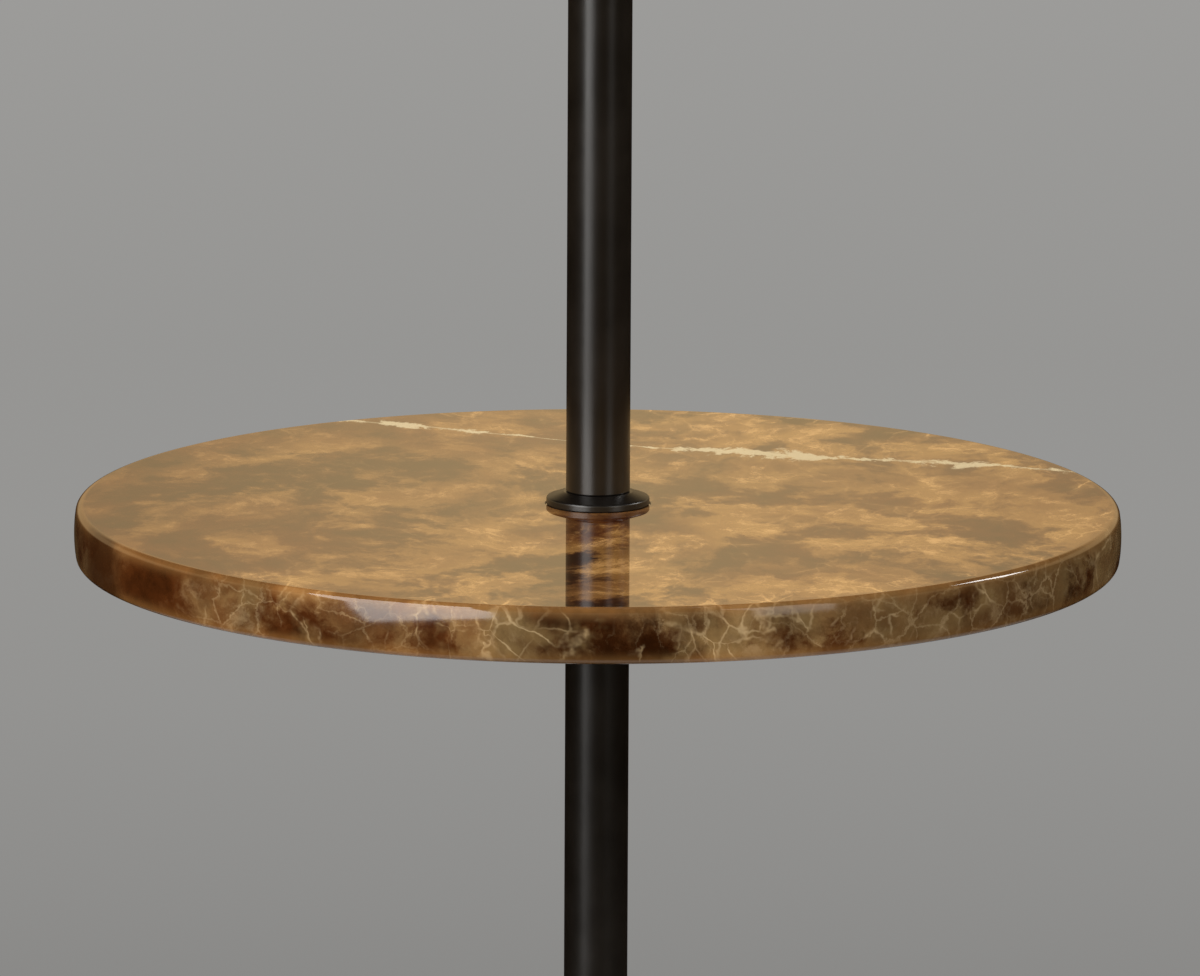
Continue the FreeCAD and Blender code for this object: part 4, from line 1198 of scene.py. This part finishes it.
camera = {
    "distance": 3.42,
    "elevation": math.radians(10.95),
    "roll": math.radians(0.28),
    "aimAboveTable": 5.3 * mm,
    "aimAside": 0.7 * mm,
    "lens": 298.4,
    "sensor": 36.0,
    "farthest": 100,
}


def makeCamera():
    data = bpy.data.cameras.new("camera")
    data.lens = camera["lens"]
    data.sensor_width = camera["sensor"]
    data.clip_end = camera["farthest"]
    made = bpy.data.objects.new("camera", data)
    scene.collection.objects.link(made)
    aim = Vector((camera["aimAside"], 0, levels("table_top")[1] + camera["aimAboveTable"]))
    back = Vector((0, -math.cos(camera["elevation"]), math.sin(camera["elevation"])))
    made.location = aim + back * camera["distance"]
    made.rotation_mode = "QUATERNION"
    look = (-back).to_track_quat("-Z", "Y")
    made.rotation_quaternion = look @ Euler((0, 0, camera["roll"])).to_quaternion()
    scene.camera = made


makeCamera()
print("camera placed")


# the studio: a pale floor, a grey room and soft lamps

studio = {
    "floorRadius": 1.15,
    "floorFade": 0.35,  # the floor starts to fade out this far from the foot's middle
    "floorThick": 2 * mm,
    "floorSegments": 128,
    "floorTone": (3.0, 5.0),  # a slow noise: scale and detail, and how much of it shows
    "floorToneShare": 0.2,
    "floorRoughness": 0.85,
    "floorSheen": 0.1,
    "floorColour": (0.46, 0.455, 0.445, 1),
    "floorPale": (0.52, 0.515, 0.505, 1),
    # the backdrop's grey against the height of the direction, from low to high
    "backdrop": [(-0.242, 0.245), (-0.228, 0.268), (-0.211, 0.291), (-0.193, 0.302), (-0.176, 0.302),
                 (-0.160, 0.314), (-0.138, 0.332)],
    "backTint": (1.012, 1.0, 0.972, 1),
    "underGlow": (0.016, 0.010, 0.006, 1),
    "roomGlow": (0.835, 0.592, 0.300, 1),
    "glowStarts": (-0.06, 0.12),  # heights of the direction at which reflections find the warm glow
    "glowEnds": (0.30, 0.50),
    "glowAside": (0.07, 0.0, 0.70, 1.0),  # it is strongest straight behind and before the lamp
    "ambientHeights": (-0.3, 1.0),
    "ambient": (0.163, 0.814),  # what diffuse light finds below and above
    "lamps": {
        # azimuth and elevation from the table, distance, width, height, power, colour, roll
        "leftSoftbox": (-45, 24, 2.6, 1.55, 3.0, 74.0, (1.0, 0.99, 0.97), 20),
        "rightSoftbox": (42, 22, 3.0, 1.0, 2.4, 12.6, (1.0, 0.98, 0.94), 0),
        "rimStrip": (104, 30, 2.2, 0.35, 0.8, 11.8, (1.0, 0.98, 0.95), 0),
    },
}


def makeFloor():
    radius, under = studio["floorRadius"], -studio["floorThick"]
    piece = lathe("floor", [(0, 0), (radius, 0), (radius, under), (0, under)], studio["floorSegments"],
                  closed=False)
    material, tree, shader = newMaterial("paleFloor")
    place = objectCoordinates(tree)
    tone = product(noise(place, *studio["floorTone"]), studio["floorToneShare"])
    feed(shader, {"Base Color": mixColour(tone, studio["floorColour"], studio["floorPale"]),
                  "Roughness": studio["floorRoughness"], "Specular IOR Level": studio["floorSheen"]})
    distance = node("VectorMath", {0: place}, operation="LENGTH").outputs["Value"]
    fade = smoothMap(distance, studio["floorFade"], radius * 0.99)
    clear = node("BsdfTransparent", {}, tree)
    mixed = node("MixShader", {0: fade, 1: shader.outputs[0], 2: clear.outputs[0]})
    feed(tree.nodes["Material Output"], {"Surface": mixed.outputs[0]})
    piece.data.materials.append(material)


def makeWorld():
    # camera rays find the backdrop's grey, in steps that meet; reflections find a warm glow in a band over
    # the horizon and darkness elsewhere; diffuse light gets an even share
    world = bpy.data.worlds.new("studio")
    scene.world = world
    world.use_nodes = True
    tree = world.node_tree
    tree.nodes.clear()
    direction = node("TexCoord", {}, tree).outputs["Generated"]
    x, _, height = node("SeparateXYZ", {0: direction}).outputs
    level = studio["backdrop"][0][1]
    for (low, dark), (high, pale) in zip(studio["backdrop"], studio["backdrop"][1:]):
        step = node("MapRange", {"Value": height, "From Min": low, "From Max": high, "To Min": 0.0,
                                 "To Max": pale - dark}).outputs[0]
        level = total(level, step)
    grey = mixColour(1.0, level, studio["backTint"], "MULTIPLY")
    glossy = mixColour(smoothMap(height, *studio["glowStarts"]), studio["underGlow"],
                       studio["roomGlow"])
    glossy = mixColour(smoothMap(height, *studio["glowEnds"]), glossy, studio["underGlow"])
    aside = smoothMap(mathNode("ABSOLUTE", x), *studio["glowAside"])
    glossy = mixColour(1.0, glossy, aside, "MULTIPLY")
    even = smoothMap(height, *studio["ambientHeights"], *studio["ambient"])
    path = node("LightPath", {}, tree)
    seen = mixColour(path.outputs["Is Camera Ray"], even, grey)
    seen = mixColour(mathNode("MAXIMUM", path.outputs["Is Glossy Ray"],
                              path.outputs["Is Transmission Ray"]), seen, glossy)
    background = node("Background", {0: seen, 1: 1.0})
    node("OutputWorld", {0: background.outputs[0]})


def makeLamps():
    centre = Vector((0, 0, levels("table_top")[1]))
    for name, (azimuth, elevation, distance, width, height, power, colour, roll) in studio["lamps"].items():
        data = bpy.data.lights.new(name, "AREA")
        data.shape, data.size, data.size_y = "RECTANGLE", width, height
        data.energy, data.color = power, colour
        lamp = bpy.data.objects.new(name, data)
        scene.collection.objects.link(lamp)
        turn, lift = math.radians(azimuth), math.radians(elevation)
        towards = Vector((math.sin(turn) * math.cos(lift), -math.cos(turn) * math.cos(lift), math.sin(lift)))
        lamp.location = centre + towards * distance
        lamp.rotation_mode = "QUATERNION"
        facing = (-towards).to_track_quat("-Z", "Y")
        lamp.rotation_quaternion = facing @ Euler((0, 0, math.radians(roll))).to_quaternion()
        lamp.visible_camera = False


makeFloor()
makeWorld()
makeLamps()
print("studio made")
